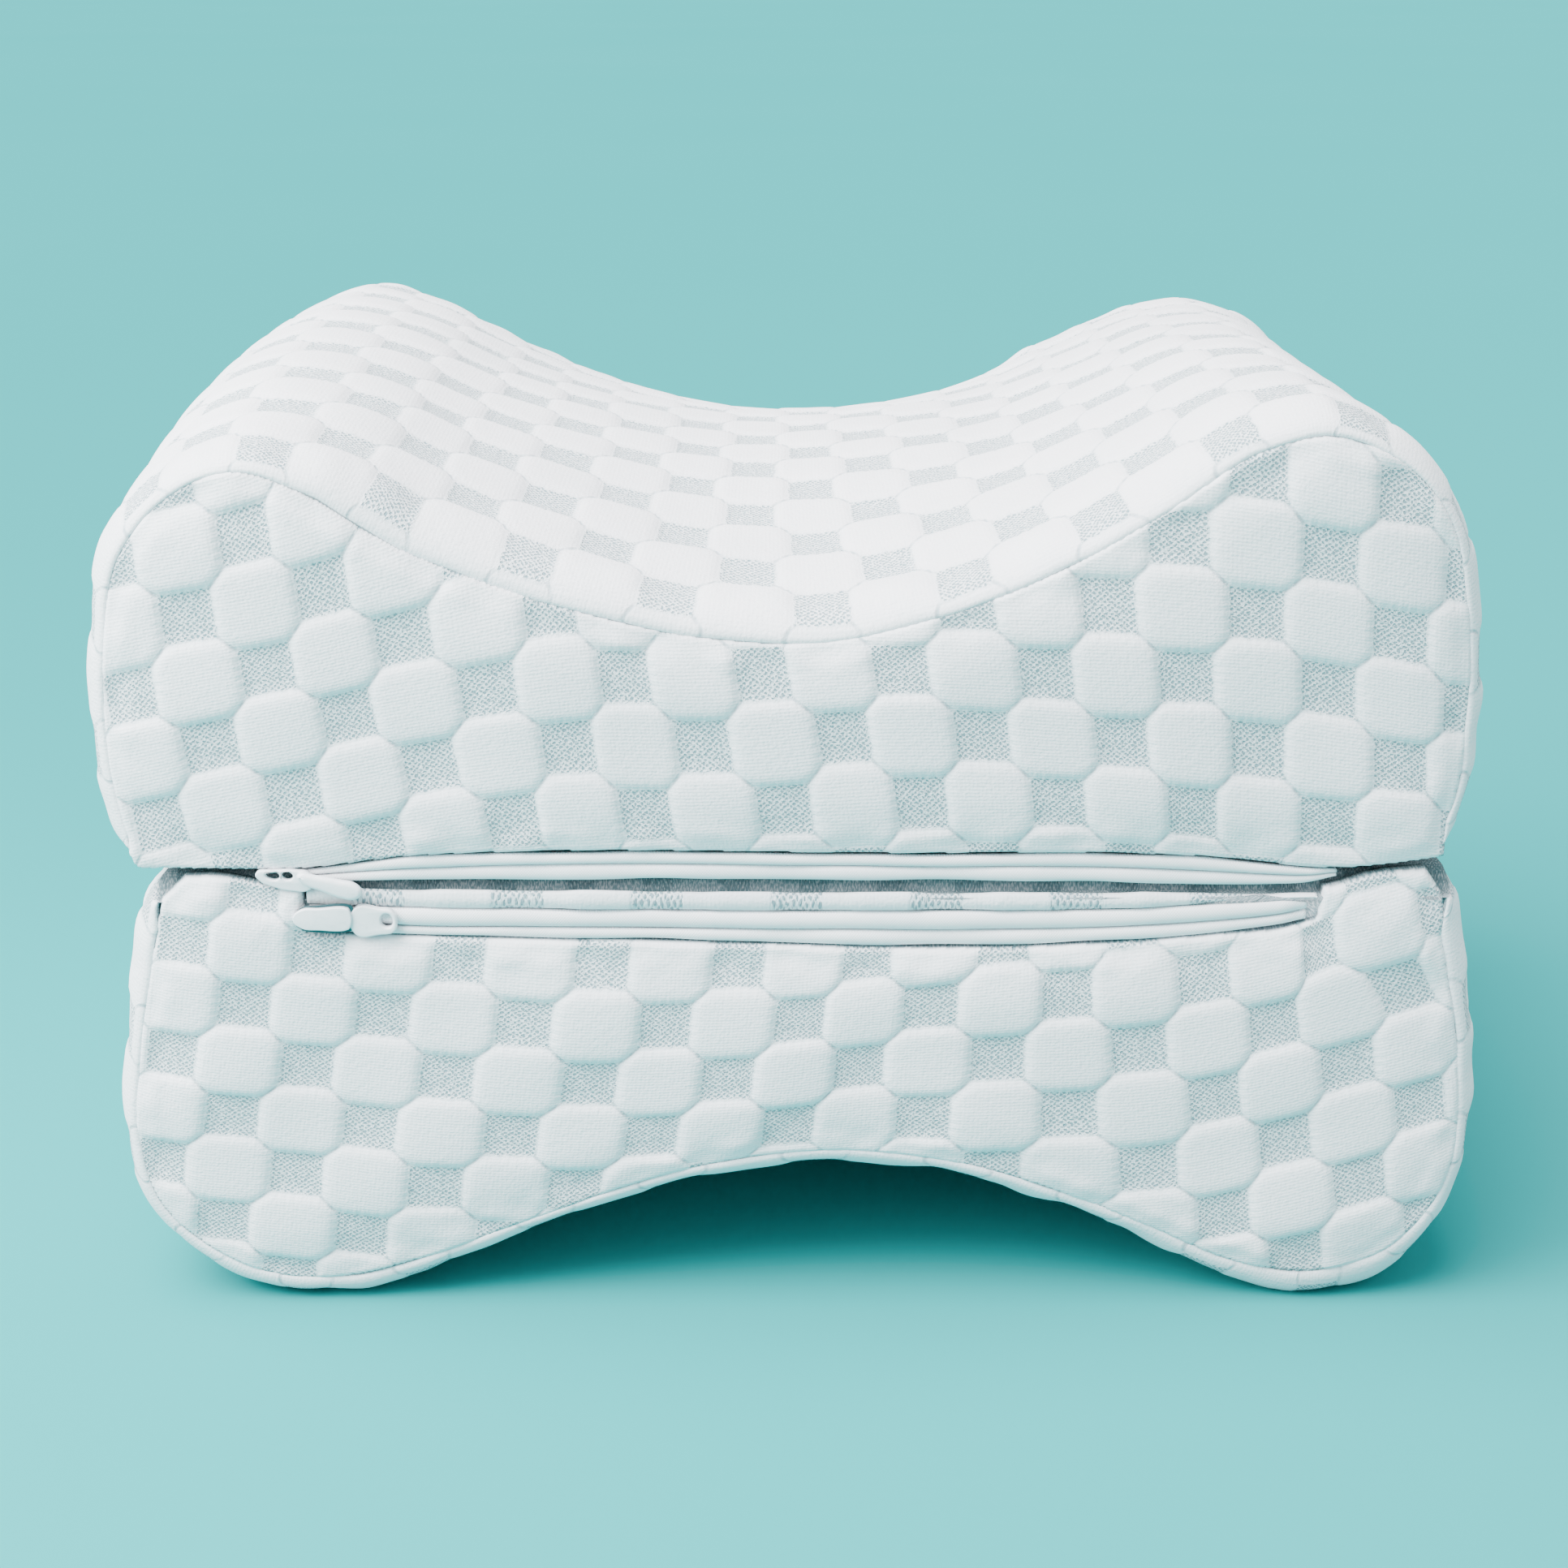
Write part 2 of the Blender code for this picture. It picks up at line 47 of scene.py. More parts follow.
NORMAL_STEP = 0.4

# The covers' band, as in the solids
SPLIT_HEIGHT = 84.5
BAND_END = 94.6
EDGE_START = 84.0
SEAM_PLACE = 98.0
FULLNESS_END = 86.0
UPPER_SEAM_INSET = 4.3
LOWER_SEAM_INSET = 3.6

# The foam's edges at the flat faces are rounded at the front and back
HEEL_START = 86.0
HEEL_LIFT = 5.0

# The seam lies closer to the corner of the flat face than elsewhere
CORNER_REACH = 11.0
CORNER_SHARE = 0.15

# The knit: raised cushions and flat mesh squares alternate on a grid of half pitches
PITCH_ACROSS = 12.7
PITCH_ALONG = 12.5
PITCH = 12.6
CUSHION_HALF = 0.622
BAND_RISE = 0.8
PANEL_RISE = 1.15
FIRST_SQUARE_X = 3.6
FIRST_SQUARE_Y = -92.0

# The panels
SEAM_GAP = 0.3
PANEL_BACK = 94.9
PANEL_EDGE = 96.5
PANEL_RIM = 1.5
PANEL_RIM_WIDTH = 0.8
PANEL_CROWN = 1.0
PANEL_CROWN_REACH = 12.0

# Mesh steps
UPPER_BAND_STEP = (1.02, 1.0)
LOWER_BAND_STEP = (1.35, 1.35)
FRONT_PANEL_STEPS = 22
OUTLINE_STEPS = 420
OUTLINE_SPACING = 0.35
BACK_PANEL_STEPS = 12

# Columns: name, x and z at the front, x and z at the back, fullness at mid depth
UPPER_PROFILE = [
    ("base left", -117.0, 84.65, -117.0, 84.65, 0.0),
    ("heel left", -122.8, 89.5, -122.8, 89.5, 0.0),
    ("side left low", -125.6, 98.5, -125.4, 98.5, 0.0),
    ("side left", -126.9, 114.0, -126.7, 114.0, 0.0),
    ("side left high", -125.9, 130.0, -126.4, 131.0, 0.6),
    ("shoulder left", -121.8, 146.6, -123.1, 148.1, 3.1),
    ("brow left", -112.3, 157.9, -114.3, 160.6, 4.0),
    ("ridge left", -97.5, 164.4, -99.5, 167.3, 3.5),
    ("ridge left in", -82.0, 161.9, -84.0, 163.6, 4.5),
    ("slope left", -64.0, 153.2, -64.0, 153.8, 6.0),
    ("slope left low", -44.0, 145.0, -44.0, 145.2, 8.0),
    ("dip left", -22.0, 138.2, -22.0, 138.6, 10.5),
    ("saddle", 2.0, 135.8, 1.0, 136.0, 12.0),
    ("dip right", 24.0, 140.2, 24.0, 138.6, 10.8),
    ("slope right low", 44.0, 147.9, 44.0, 145.0, 7.0),
    ("slope right", 62.0, 158.6, 62.0, 154.4, 4.4),
    ("ridge right in", 77.0, 168.4, 78.0, 161.4, 2.8),
    ("ridge right", 91.5, 171.1, 93.0, 163.7, 0.8),
    ("brow right", 106.6, 163.6, 107.2, 159.2, -1.0),
    ("shoulder right", 116.7, 150.8, 117.4, 147.8, -1.6),
    ("side right high", 121.5, 133.4, 121.4, 131.6, -0.8),
    ("side right", 122.6, 114.0, 122.3, 114.0, 0.0),
    ("side right low", 121.4, 99.5, 121.2, 99.5, 0.0),
    ("heel right", 118.9, 91.2, 118.7, 91.2, 0.0),
    ("base right", 115.0, 84.65, 115.0, 84.65, 0.0),
]
LOWER_PROFILE = [
    ("base left", -113.5, 84.35, -113.5, 84.35, 0.0),
    ("rim left", -119.5, 79.0, -119.5, 79.0, 0.0),
    ("side left high", -122.9, 67.0, -122.9, 67.0, 0.0),
    ("side left", -125.6, 51.0, -125.6, 51.0, 0.0),
    ("side left low", -127.1, 35.0, -127.1, 35.0, 0.0),
    ("calf left", -123.9, 19.0, -123.9, 19.0, 0.0),
    ("toe left", -113.6, 6.0, -113.6, 6.0, 0.0),
    ("foot left", -99.0, -1.2, -99.0, -1.2, 0.0),
    ("foot left in", -84.0, -1.2, -84.0, -1.2, 0.5),
    ("rise left", -67.0, 4.0, -67.0, 4.0, 2.5),
    ("arch left", -48.0, 12.4, -48.0, 12.4, 5.0),
    ("arch left high", -26.0, 20.8, -26.0, 20.8, 7.5),
    ("arch", -2.0, 25.5, -2.0, 25.5, 9.0),
    ("arch right high", 20.0, 25.1, 20.0, 25.1, 8.2),
    ("arch right", 42.0, 19.8, 42.0, 19.8, 6.0),
    ("rise right", 62.0, 11.2, 62.0, 11.2, 3.2),
    ("foot right in", 81.0, 1.4, 81.0, 1.4, 1.0),
    ("foot right", 96.5, -2.6, 96.5, -2.6, 0.0),
    ("toe right", 112.0, 1.8, 112.0, 1.8, 0.0),
    ("calf right", 122.6, 13.8, 122.6, 13.8, 0.0),
    ("side right low", 127.2, 28.6, 127.2, 28.6, 0.0),
    ("side right", 127.2, 46.0, 127.2, 46.0, 0.0),
    ("side right high", 124.6, 66.0, 124.6, 66.0, 0.0),
    ("rim right", 121.6, 78.5, 121.6, 78.5, 0.0),
    ("base right", 117.0, 84.35, 117.0, 84.35, 0.0),
]

# How far the front seam lies further in than the rest. Columns: x, extra inset
UPPER_SEAM_DROP = [(-128.0, 0.0), (-90.0, 0.3), (-76.0, 2.4), (-50.0, 2.6), (-25.0, 1.8), (0.0, 1.3),
                   (30.0, 0.8), (60.0, 0.4), (96.0, 0.0), (106.0, -1.2), (116.0, -1.2), (122.0, -0.3)]
LOWER_SEAM_DROP = [(-128.0, 0.4), (-122.0, 1.0), (-113.0, 2.0), (-99.0, 2.5), (-84.0, 2.4), (-62.0, 1.5),
                   (-45.0, 0.8), (-20.0, 1.0), (0.0, 1.4), (30.0, 1.3), (62.0, 1.6), (80.0, 2.8), (96.0, 4.4),
                   (110.0, 4.2), (120.0, 2.6), (128.0, 0.6)]

# How far the split between the halves rises at the front, and how that fades above, below and behind it.
# Columns: x, rise
SPLIT_REACH = 12.0
SPLIT_RISE_START = 76.0
SPLIT_RISE_RUN = 18.0
SPLIT_RISE = [(-128.0, 2.0), (-110.0, 2.0), (-100.0, 1.2), (-92.0, 0.0), (92.0, 0.0), (100.0, 1.4),
              (112.0, 3.0), (128.0, 3.6)]

# Where the front panels' knit lies. Columns: column of the knit, x and z on the middle row, step x and
# z from that row to the next one up
UPPER_KNIT = [
    (-10, -114.6, 107.8, -1.4, 11.9), (-8, -90.8, 113.3, -1.5, 11.8), (-6, -66.3, 119.2, -1.8, 12.1),
    (-4, -41.6, 123.4, -1.6, 12.9), (-2, -18.4, 123.3, -2.0, 12.4), (0, 5.9, 124.2, -2.0, 12.3),
    (2, 30.8, 124.9, -1.6, 12.3), (4, 55.6, 124.4, -1.5, 12.3), (6, 80.4, 122.4, -0.7, 12.4),
    (8, 105.8, 119.3, -0.6, 12.0), (10, 130.0, 115.4, -0.6, 12.0)]
LOWER_KNIT = [
    (-10, -136.0, 64.6, 1.6, 11.0), (-8, -113.2, 62.6, 1.6, 11.0), (-6, -88.4, 60.5, 1.6, 10.9),
    (-4, -62.4, 58.9, 1.55, 11.5), (-2, -36.8, 57.6, 1.5, 11.5), (0, -11.8, 58.2, 1.3, 10.9),
    (2, 12.3, 59.9, 0.7, 10.9), (4, 37.2, 62.5, 0.3, 11.9), (6, 61.8, 65.2, -1.1, 12.1),
    (8, 86.0, 69.6, -1.6, 11.8), (10, 109.6, 76.6, -1.9, 11.8)]

# The lower panel's knit is drawn toward the zip at its upper right: shift, and where it starts and ends
DRAWN_IN = 5.2
DRAWN_X = (88.0, 104.0)
DRAWN_ROWS = (-1.6, 0.0)

# Edge of the upper panel over its zip, and of the lower panel under its zip. Columns: x, z
UPPER_FOLD = [(-121.0, 87.0), (-113.0, 87.3), (-105.0, 87.2), (-96.0, 87.1), (-89.0, 87.3), (-82.0, 88.1),
              (-69.0, 89.7), (-56.0, 90.3), (20.0, 90.2), (62.0, 90.1), (76.0, 89.4), (84.0, 88.5),
              (90.0, 87.8), (97.0, 87.5), (103.0, 87.8), (113.0, 89.1), (121.0, 90.0)]
LOWER_FOLD = [(-94.0, 76.0), (-84.0, 74.9), (-70.0, 74.4), (-50.0, 73.9), (-29.0, 73.5), (-3.0, 72.7),
              (20.0, 72.1), (61.0, 73.4), (76.0, 74.8), (90.0, 76.4), (95.0, 78.0)]
LOWER_OPENING = (-88.5, 94.0)
LOWER_CORNERS = ((-114.6, 81.6), (117.2, 81.4))
LOWER_SEAM_TOP = 76.5

# Top of the lower panel beside its opening, and of the strip between the lower zip and the flat face.
# Columns: x, z
LOWER_TOP = [(-110.0, 86.0), (-103.0, 85.9), (-99.5, 85.2), (-94.0, 84.0), (-88.0, 83.5), (94.0, 83.8),
             (97.0, 84.3), (103.0, 86.3), (113.0, 87.5)]
FACING_TOP = [(-94.0, 83.4), (-60.0, 83.0), (0.0, 82.5), (60.0, 82.4), (95.0, 82.3)]

# Zips: half the gap between the tapes, how far their fronts lie out, and their lines.
# Columns: x, line between the tapes z, top z, bottom z
TAPE_GAP = 0.12
TAPE_FRONT = 97.9
UPPER_ZIP = [(-90.0, 86.0, 87.0, 85.2), (-82.0, 86.6, 87.9, 85.2), (-69.0, 87.4, 89.5, 85.2),
             (-56.0, 87.9, 90.0, 85.2), (20.0, 87.8, 89.9, 85.1), (62.0, 87.4, 89.8, 84.6),
             (76.0, 86.8, 89.1, 84.3), (84.0, 86.4, 88.2, 84.2), (90.0, 86.2, 87.5, 84.5),
             (97.0, 86.5, 87.2, 85.8)]
LOWER_ZIP = [(-88.0, 77.6, 80.4, 76.0), (-80.0, 76.9, 80.0, 75.3), (-70.0, 76.3, 79.6, 74.8),
             (-50.0, 76.1, 79.4, 74.3), (-29.0, 75.9, 79.2, 73.9), (-3.0, 75.6, 79.0, 73.1),
             (20.0, 75.5, 79.1, 72.5), (61.0, 76.2, 79.5, 73.8), (76.0, 77.3, 80.5, 75.1),
             (86.0, 78.4, 81.2, 76.3), (92.0, 79.4, 81.6, 77.4)]

# Sliders and pulls as outlines (x, z), with the holes in them
UPPER_SLIDER = [(-97.0, 86.9), (-94.0, 87.5), (-90.0, 87.6), (-87.2, 86.9), (-86.6, 85.2), (-87.4, 83.8),
                (-90.6, 83.6), (-94.0, 84.4), (-96.4, 85.6)]
UPPER_SLIDER_HOLES = [[(-95.2, 86.8), (-92.9, 86.9), (-92.8, 86.1), (-94.5, 85.9)],
                      [(-92.2, 86.9), (-90.5, 86.9), (-90.4, 86.1), (-92.0, 86.0)]]
UPPER_PULL = [(-89.4, 87.0), (-86.0, 86.9), (-82.0, 86.1), (-78.8, 85.2), (-77.9, 83.7), (-79.0, 82.4),
              (-81.6, 82.6), (-85.0, 83.9), (-88.4, 85.4)]
LOWER_PULL = [(-89.2, 80.3), (-86.0, 80.6), (-80.7, 80.7), (-80.3, 80.2), (-80.3, 77.1), (-80.8, 76.6),
              (-86.0, 76.5), (-89.4, 77.0), (-90.6, 78.6)]
# Outline of the dark plate of painted shadow behind the lower pull
LOWER_PULL_SHADE = [(-89.6, 80.2), (-86.0, 81.0), (-80.2, 81.1), (-79.8, 80.6), (-79.8, 76.5), (-81.4, 75.9),
                    (-86.0, 75.8), (-89.0, 76.3), (-90.4, 77.6)]
LOWER_SLIDER = [(-79.6, 80.4), (-75.0, 80.4), (-72.6, 79.8), (-72.0, 78.0), (-72.5, 76.0), (-75.0, 75.4),
                (-79.6, 75.5)]
LOWER_SLIDER_HOLES = [[(-73.9, 79.5), (-72.9, 77.2), (-74.7, 77.2)]]
SHADE_THICK = 0.35
SHADE_BEVEL = 0.05


def smooth(value):
    """Ease from 0 to 1."""
    value = np.clip(value, 0.0, 1.0)
    return value * value * (3.0 - 2.0 * value)


def through_points(points, places, at):
    """Smooth curve through points that stand at the given places, read at other places."""
    points = np.asarray(points, float)
    places = np.asarray(places, float)
    at = np.clip(at, places[0], places[-1])
    steps = np.diff(places)[:, None]
    slopes = np.diff(points, axis=0) / steps
    tangents = np.empty_like(points)
    tangents[0] = slopes[0]
    tangents[-1] = slopes[-1]
    tangents[1:-1] = (slopes[:-1] * steps[1:] + slopes[1:] * steps[:-1]) / (steps[1:] + steps[:-1])
    span = np.clip(np.searchsorted(places, at, side="right") - 1, 0, len(places) - 2)
    width = (places[span + 1] - places[span])[:, None]
    t = ((at - places[span])[:, None]) / width
    return ((2 * t**3 - 3 * t**2 + 1) * points[span] + (t**3 - 2 * t**2 + t) * width * tangents[span]
            + (3 * t**2 - 2 * t**3) * points[span + 1] + (t**3 - t**2) * width * tangents[span + 1])


def read_table(table, x):
    """Smooth values of a table's columns at each x, the table's first column."""
    table = np.asarray(table, float)
    return through_points(table[:, 1:], table[:, 0], np.atleast_1d(np.asarray(x, float)))


def read_knit(table, columns):
    """Values of a knit table at each column, carried on straight past its ends."""
    table = np.asarray(table, float)
    values = read_table(table, columns)
    for end, inner in ((0, 1), (-1, -2)):
        slope = (table[end, 1:] - table[inner, 1:]) / (table[end, 0] - table[inner, 0])
        past = columns < table[0, 0] if end == 0 else columns > table[-1, 0]
        values[past] = table[end, 1:] + slope * (columns[past] - table[end, 0])[:, None]
    return values


def ripple(a, b, wavelength, seed, waves=9):
    """Smooth unevenness, about -1 to 1, over two coordinates in millimetres."""
    dice = np.random.default_rng(seed)
    total = 0.0
    for _ in range(waves):
        angle = dice.uniform(0.0, 2.0 * pi)
        length = wavelength * dice.uniform(0.6, 1.7)
        phase = dice.uniform(0.0, 2.0 * pi)
        total = total + np.sin(2.0 * pi * (a * cos(angle) + b * sin(angle)) / length + phase)
    return total / sqrt(waves)


def cushion_chance(column, row):
    """A number from 0 to 1 for each cushion of the knit."""
    value = np.sin(column * 127.1 + row * 311.7) * 43758.5453
    return value - np.floor(value)


def knit_relief(s, t, rise):
    """Rise of the knit in millimetres. s and t count half pitches, and cushions are where they add up odd."""
    p = (s + t - 1.0) / 2.0
    q = (s - t - 1.0) / 2.0
    p_part = p - np.round(p)
    q_part = q - np.round(q)
    ds = p_part + q_part
    dt = p_part - q_part
    along = np.where(np.abs(ds) > np.abs(dt), dt, ds) * PITCH
    scallop = 0.16 * np.sin(2.0 * pi * along / 1.7 + 3.0 * np.round(p))
    edge = (CUSHION_HALF - np.maximum(np.abs(ds), np.abs(dt))) * PITCH + scallop
    touch = (0.5 - np.maximum(np.abs(p_part), np.abs(q_part))) * sqrt(2.0) * PITCH
    puff = rise * (0.86 + 0.26 * cushion_chance(np.round(p), np.round(q)))
    side = 1.0 - np.exp(-np.maximum(edge, 0.0) / 0.7)
    pinch = 0.38 + 0.62 * (1.0 - np.exp(-np.power(np.maximum(touch, 0.0) / 0.6, 1.3)))
    dome = 0.16 * (1.0 - (ds * ds + dt * dt) / (CUSHION_HALF * CUSHION_HALF))
    raised = puff * side * pinch * (0.88 + dome)
    sunk = -0.22 * smooth(-edge / 2.4)
    return np.where(edge > 0.0, raised, sunk)


class Half:
    """One half of the pillow: its band's profile, read by distance round the band."""

    def __init__(self, name, profile, up, seam_inset, seam_drop):
        self.name = name
        self.up = up
        self.base = SPLIT_HEIGHT + up * GAP / 2
        self.seam_inset = seam_inset
        self.seam_drop = seam_drop
        table = np.array([row[1:] for row in profile], float)
        self.front = table[:, :2]
        self.back = table[:, 2:4]
        self.fullness = table[:, 4:]
        middle = (self.front + self.back) / 2
        chords = np.linalg.norm(np.diff(middle, axis=0), axis=1)
        self.places = np.concatenate([[0.0], np.cumsum(chords)])
        fine = np.linspace(0.0, self.places[-1], 2000)
        curve = through_points(middle, self.places, fine)
        run = np.concatenate([[0.0], np.cumsum(np.linalg.norm(np.diff(curve, axis=0), axis=1))])
        self.length = run[-1]
        self._fine = fine
        self._run = run
        self.lattice_start = run[np.argmin(np.abs(curve[:, 0] - FIRST_SQUARE_X))]

    def sections(self, distances, depths, insets):
        """Points (x, z) of the band and outward normals, for rows of depth and inset."""
        at = np.interp(distances, self._run, self._fine)
        share = np.clip((depths + FULLNESS_END) / (2 * FULLNESS_END), 0.0, 1.0)[:, None, None]
        places = []
        for place in (at, at + NORMAL_STEP, at - NORMAL_STEP):
            front = through_points(self.front, self.places, place)[None]
            back = through_points(self.back, self.places, place)[None]
            places.append(front + (back - front) * share)
        along = places[1] - places[2]
        along /= np.linalg.norm(along, axis=2)[:, :, None]
        normals = self.up * np.stack([-along[:, :, 1], along[:, :, 0]], axis=2)
        full = through_points(self.fullness, self.places, at)[None]
        full = full * np.clip(1.0 - (depths / FULLNESS_END) ** 2, 0.0, 1.0)[:, None, None]
        drop = read_table(self.seam_drop, places[0][0, :, 0])[None] / self.seam_inset
        drop = 1.0 + drop * (depths < 0)[:, None, None]
        near_base = np.minimum(distances, self.length - distances)
        drop = drop * (CORNER_SHARE + (1.0 - CORNER_SHARE) * smooth(near_base / CORNER_REACH))[None, :, None]
        return places[0] + normals * (full - insets[:, None, None] * drop), normals

    def seam_outline(self, side, extra, steps):
        """Outline (x, z) of the band's end."""
        distances = np.linspace(0.0, self.length, steps)
        inset = np.array([self.seam_inset + extra])
        points, _ = self.sections(distances, np.array([side * SEAM_PLACE]), inset)
        return points[0]


def grid_object(name, points, faces, uv=None, painted_shade=None):
    """New object from points in millimetres, each with a place in the knit and a share of painted shade."""
    mesh = bpy.data.meshes.new(name)
    mesh.from_pydata((np.asarray(points) * MM).tolist(), [], faces)
    mesh.update()
    if uv is not None:
        layer = mesh.uv_layers.new(name="knit")
        corners = np.empty(len(mesh.loops), np.int32)
        mesh.loops.foreach_get("vertex_index", corners)
        layer.data.foreach_set("uv", np.asarray(uv, np.float32)[corners].ravel())
    if painted_shade is not None:
        shade = mesh.attributes.new("painted_shade", "FLOAT", "POINT")
        shade.data.foreach_set("value", np.asarray(painted_shade, np.float32))
    mesh.shade_smooth()
    made = bpy.data.objects.new(name, mesh)
    bpy.context.scene.collection.objects.link(made)
    return made


def face_outward(made):
    """Turn every face of a closed object outward."""
    work = bmesh.new()
    work.from_mesh(made.data)
    bmesh.ops.recalc_face_normals(work, faces=work.faces)
    work.to_mesh(made.data)
    work.free()


def band_rows(half, step):
    """Depth, inset and share of the relief of each row, from the back seam to the front one."""
    count = int(round(2 * EDGE_START / step))
    rows = [(y, 0.0, 1.0) for y in np.linspace(-EDGE_START, EDGE_START, count + 1)]
    turns = np.linspace(0.0, pi / 2, int(15 / step) + 1)[1:]
    edge = [(EDGE_START + (SEAM_PLACE - EDGE_START) * sin(a), half.seam_inset * (1 - cos(a)),
             1.0 - 0.85 * float(smooth((a - 0.2) / 1.1))) for a in turns]
    lip = [(SEAM_PLACE - 0.35, half.seam_inset + 0.35, 0.0), (SEAM_PLACE - 1.3, half.seam_inset + 0.6, 0.0),
           (BAND_END, half.seam_inset + 0.7, 0.0)]
    end = edge + lip
    return [(-y, i, r) for y, i, r in reversed(end)] + rows + end


def band(half, step):
    """The band of a half with its raised knit, closed by its ends and its flat face."""
    rows = band_rows(half, step[1])
    depths = np.array([row[0] for row in rows])
    insets = np.array([row[1] for row in rows])
    shares = np.array([row[2] for row in rows])
    distances = np.linspace(0.0, half.length, int(half.length / step[0]) + 1)
    sections, normals = half.sections(distances, depths, insets)
    s = np.broadcast_to((distances - half.lattice_start)[None] / PITCH_ACROSS, sections.shape[:2])
    t = np.broadcast_to((depths - FIRST_SQUARE_Y)[:, None] / PITCH_ALONG, sections.shape[:2])
    across = s * PITCH_ACROSS
    along = t * PITCH_ALONG
    s = s + ripple(across, along, 60.0, 3) * 0.035
    t = t + ripple(across, along, 60.0, 4) * 0.035
    near_base = np.minimum(distances, half.length - distances)
    fade = smooth((near_base + 1.0) / 5.0)[None] * np.ones_like(shares)[:, None]
    rise = (knit_relief(s, t, BAND_RISE) * shares[:, None] - BAND_RISE * 0.75) * fade
    rise = rise + 0.22 * ripple(across, along, 34.0, 5) * fade
    pucker = np.exp(-np.square((np.abs(depths) - 92.0) / 5.0))[:, None]
    rise = rise + 0.3 * pucker * ripple(across, along * 0.25, 13.0, 6) * fade
    places = sections + normals * rise[:, :, None]
    heights = places[:, :, 1]
    round_share = np.clip((np.abs(depths) - HEEL_START) / (BAND_END - HEEL_START), 0.0, 1.0)
    floor_line = half.base + half.up * HEEL_LIFT * (1.0 - np.sqrt(1.0 - round_share ** 2))[:, None]
    if half.up > 0:
        heights = np.maximum(heights, floor_line)
    else:
        heights = np.clip(heights, 0.05, floor_line)
    heights[:, 0] = floor_line[:, 0]
    heights[:, -1] = floor_line[:, 0]
    near_split = np.exp(-np.square((heights - SPLIT_HEIGHT) / SPLIT_REACH))
    near_split = near_split * smooth((-depths - SPLIT_RISE_START) / SPLIT_RISE_RUN)[:, None]
    heights = heights + near_split * read_table(SPLIT_RISE, places[:, :, 0].ravel()).reshape(heights.shape)
    points = np.stack([places[:, :, 0], np.broadcast_to(depths[:, None], heights.shape), heights], axis=2)
    count_rows, count = heights.shape
    uv = np.stack([s, t], axis=2).reshape(-1, 2)
    # Painted shade on the rows tucked into the seam, and in the crevice where the halves meet at the front
    # and back
    painted_shade = np.repeat((insets > half.seam_inset)[:, None] * 1.0, count, axis=1)
    crevice = smooth((np.abs(depths) - HEEL_START) / 3.0)[:, None] * smooth((5.5 - near_base) / 2.5)[None]
    painted_shade = np.maximum(painted_shade, crevice)
    corner = np.arange(count_rows * count).reshape(count_rows, count)
    faces = np.stack([corner[:-1, :-1], corner[:-1, 1:], corner[1:, 1:], corner[1:, :-1]], axis=2)
    faces = faces.reshape(-1, 4).tolist()
    points = points.reshape(-1, 3)
    outer = [k for k in range(count_rows) if abs(depths[k]) <= SEAM_PLACE and insets[k] <= half.seam_inset]
    first = next(k for k in outer if depths[k] > -BAND_END)
    last = next(k for k in reversed(outer) if depths[k] < BAND_END)
    faces += [[corner[k, 0], corner[k + 1, 0], corner[k + 1, -1], corner[k, -1]] for k in range(first, last)]
    faces.append([corner[k, 0] for k in range(first, -1, -1)] + [corner[0, c] for c in range(1, count)]
                 + [corner[k, -1] for k in range(1, first + 1)])
    faces.append([corner[k, 0] for k in range(last, count_rows)] + [corner[-1, c] for c in range(1, count)]
                 + [corner[k, -1] for k in range(count_rows - 2, last - 1, -1)])
    faces = [[int(v) for v in face] for face in faces]
    made = grid_object(half.name + "_cover_band", points, faces, uv, painted_shade.ravel())
    face_outward(made)
    return made


def depth_inside(points, outline):
    """Distance of points (x, z) inside a closed outline, negative outside it, and the nearest edge point."""
    starts = outline
    sides = np.roll(outline, -1, axis=0) - starts
    lengths = (sides * sides).sum(axis=1) + 1e-12
    depth = np.empty(len(points))
    nearest = np.empty_like(points)
    for low in range(0, len(points), 4000):
        some = points[low:low + 4000]
        away = some[:, None, :] - starts[None]
        share = np.clip((away * sides).sum(axis=2) / lengths, 0.0, 1.0)
        off = away - share[..., None] * sides
        far = np.hypot(off[..., 0], off[..., 1])
        pick = far.argmin(axis=1)
        rows = np.arange(len(some))
        level = some[:, None, 1]
        ends = starts[:, 1] + sides[:, 1]
        crosses = (starts[:, 1] > level) != (ends > level)
        rise = np.where(np.abs(sides[:, 1]) < 1e-9, 1e-9, sides[:, 1])
        reach = starts[:, 0] + (level - starts[:, 1]) * sides[:, 0] / rise
        inside = (crosses & (some[:, None, 0] < reach)).sum(axis=1) % 2 == 1
        depth[low:low + 4000] = np.where(inside, far[rows, pick], -far[rows, pick])
        nearest[low:low + 4000] = some - off[rows, pick]
    return depth, nearest


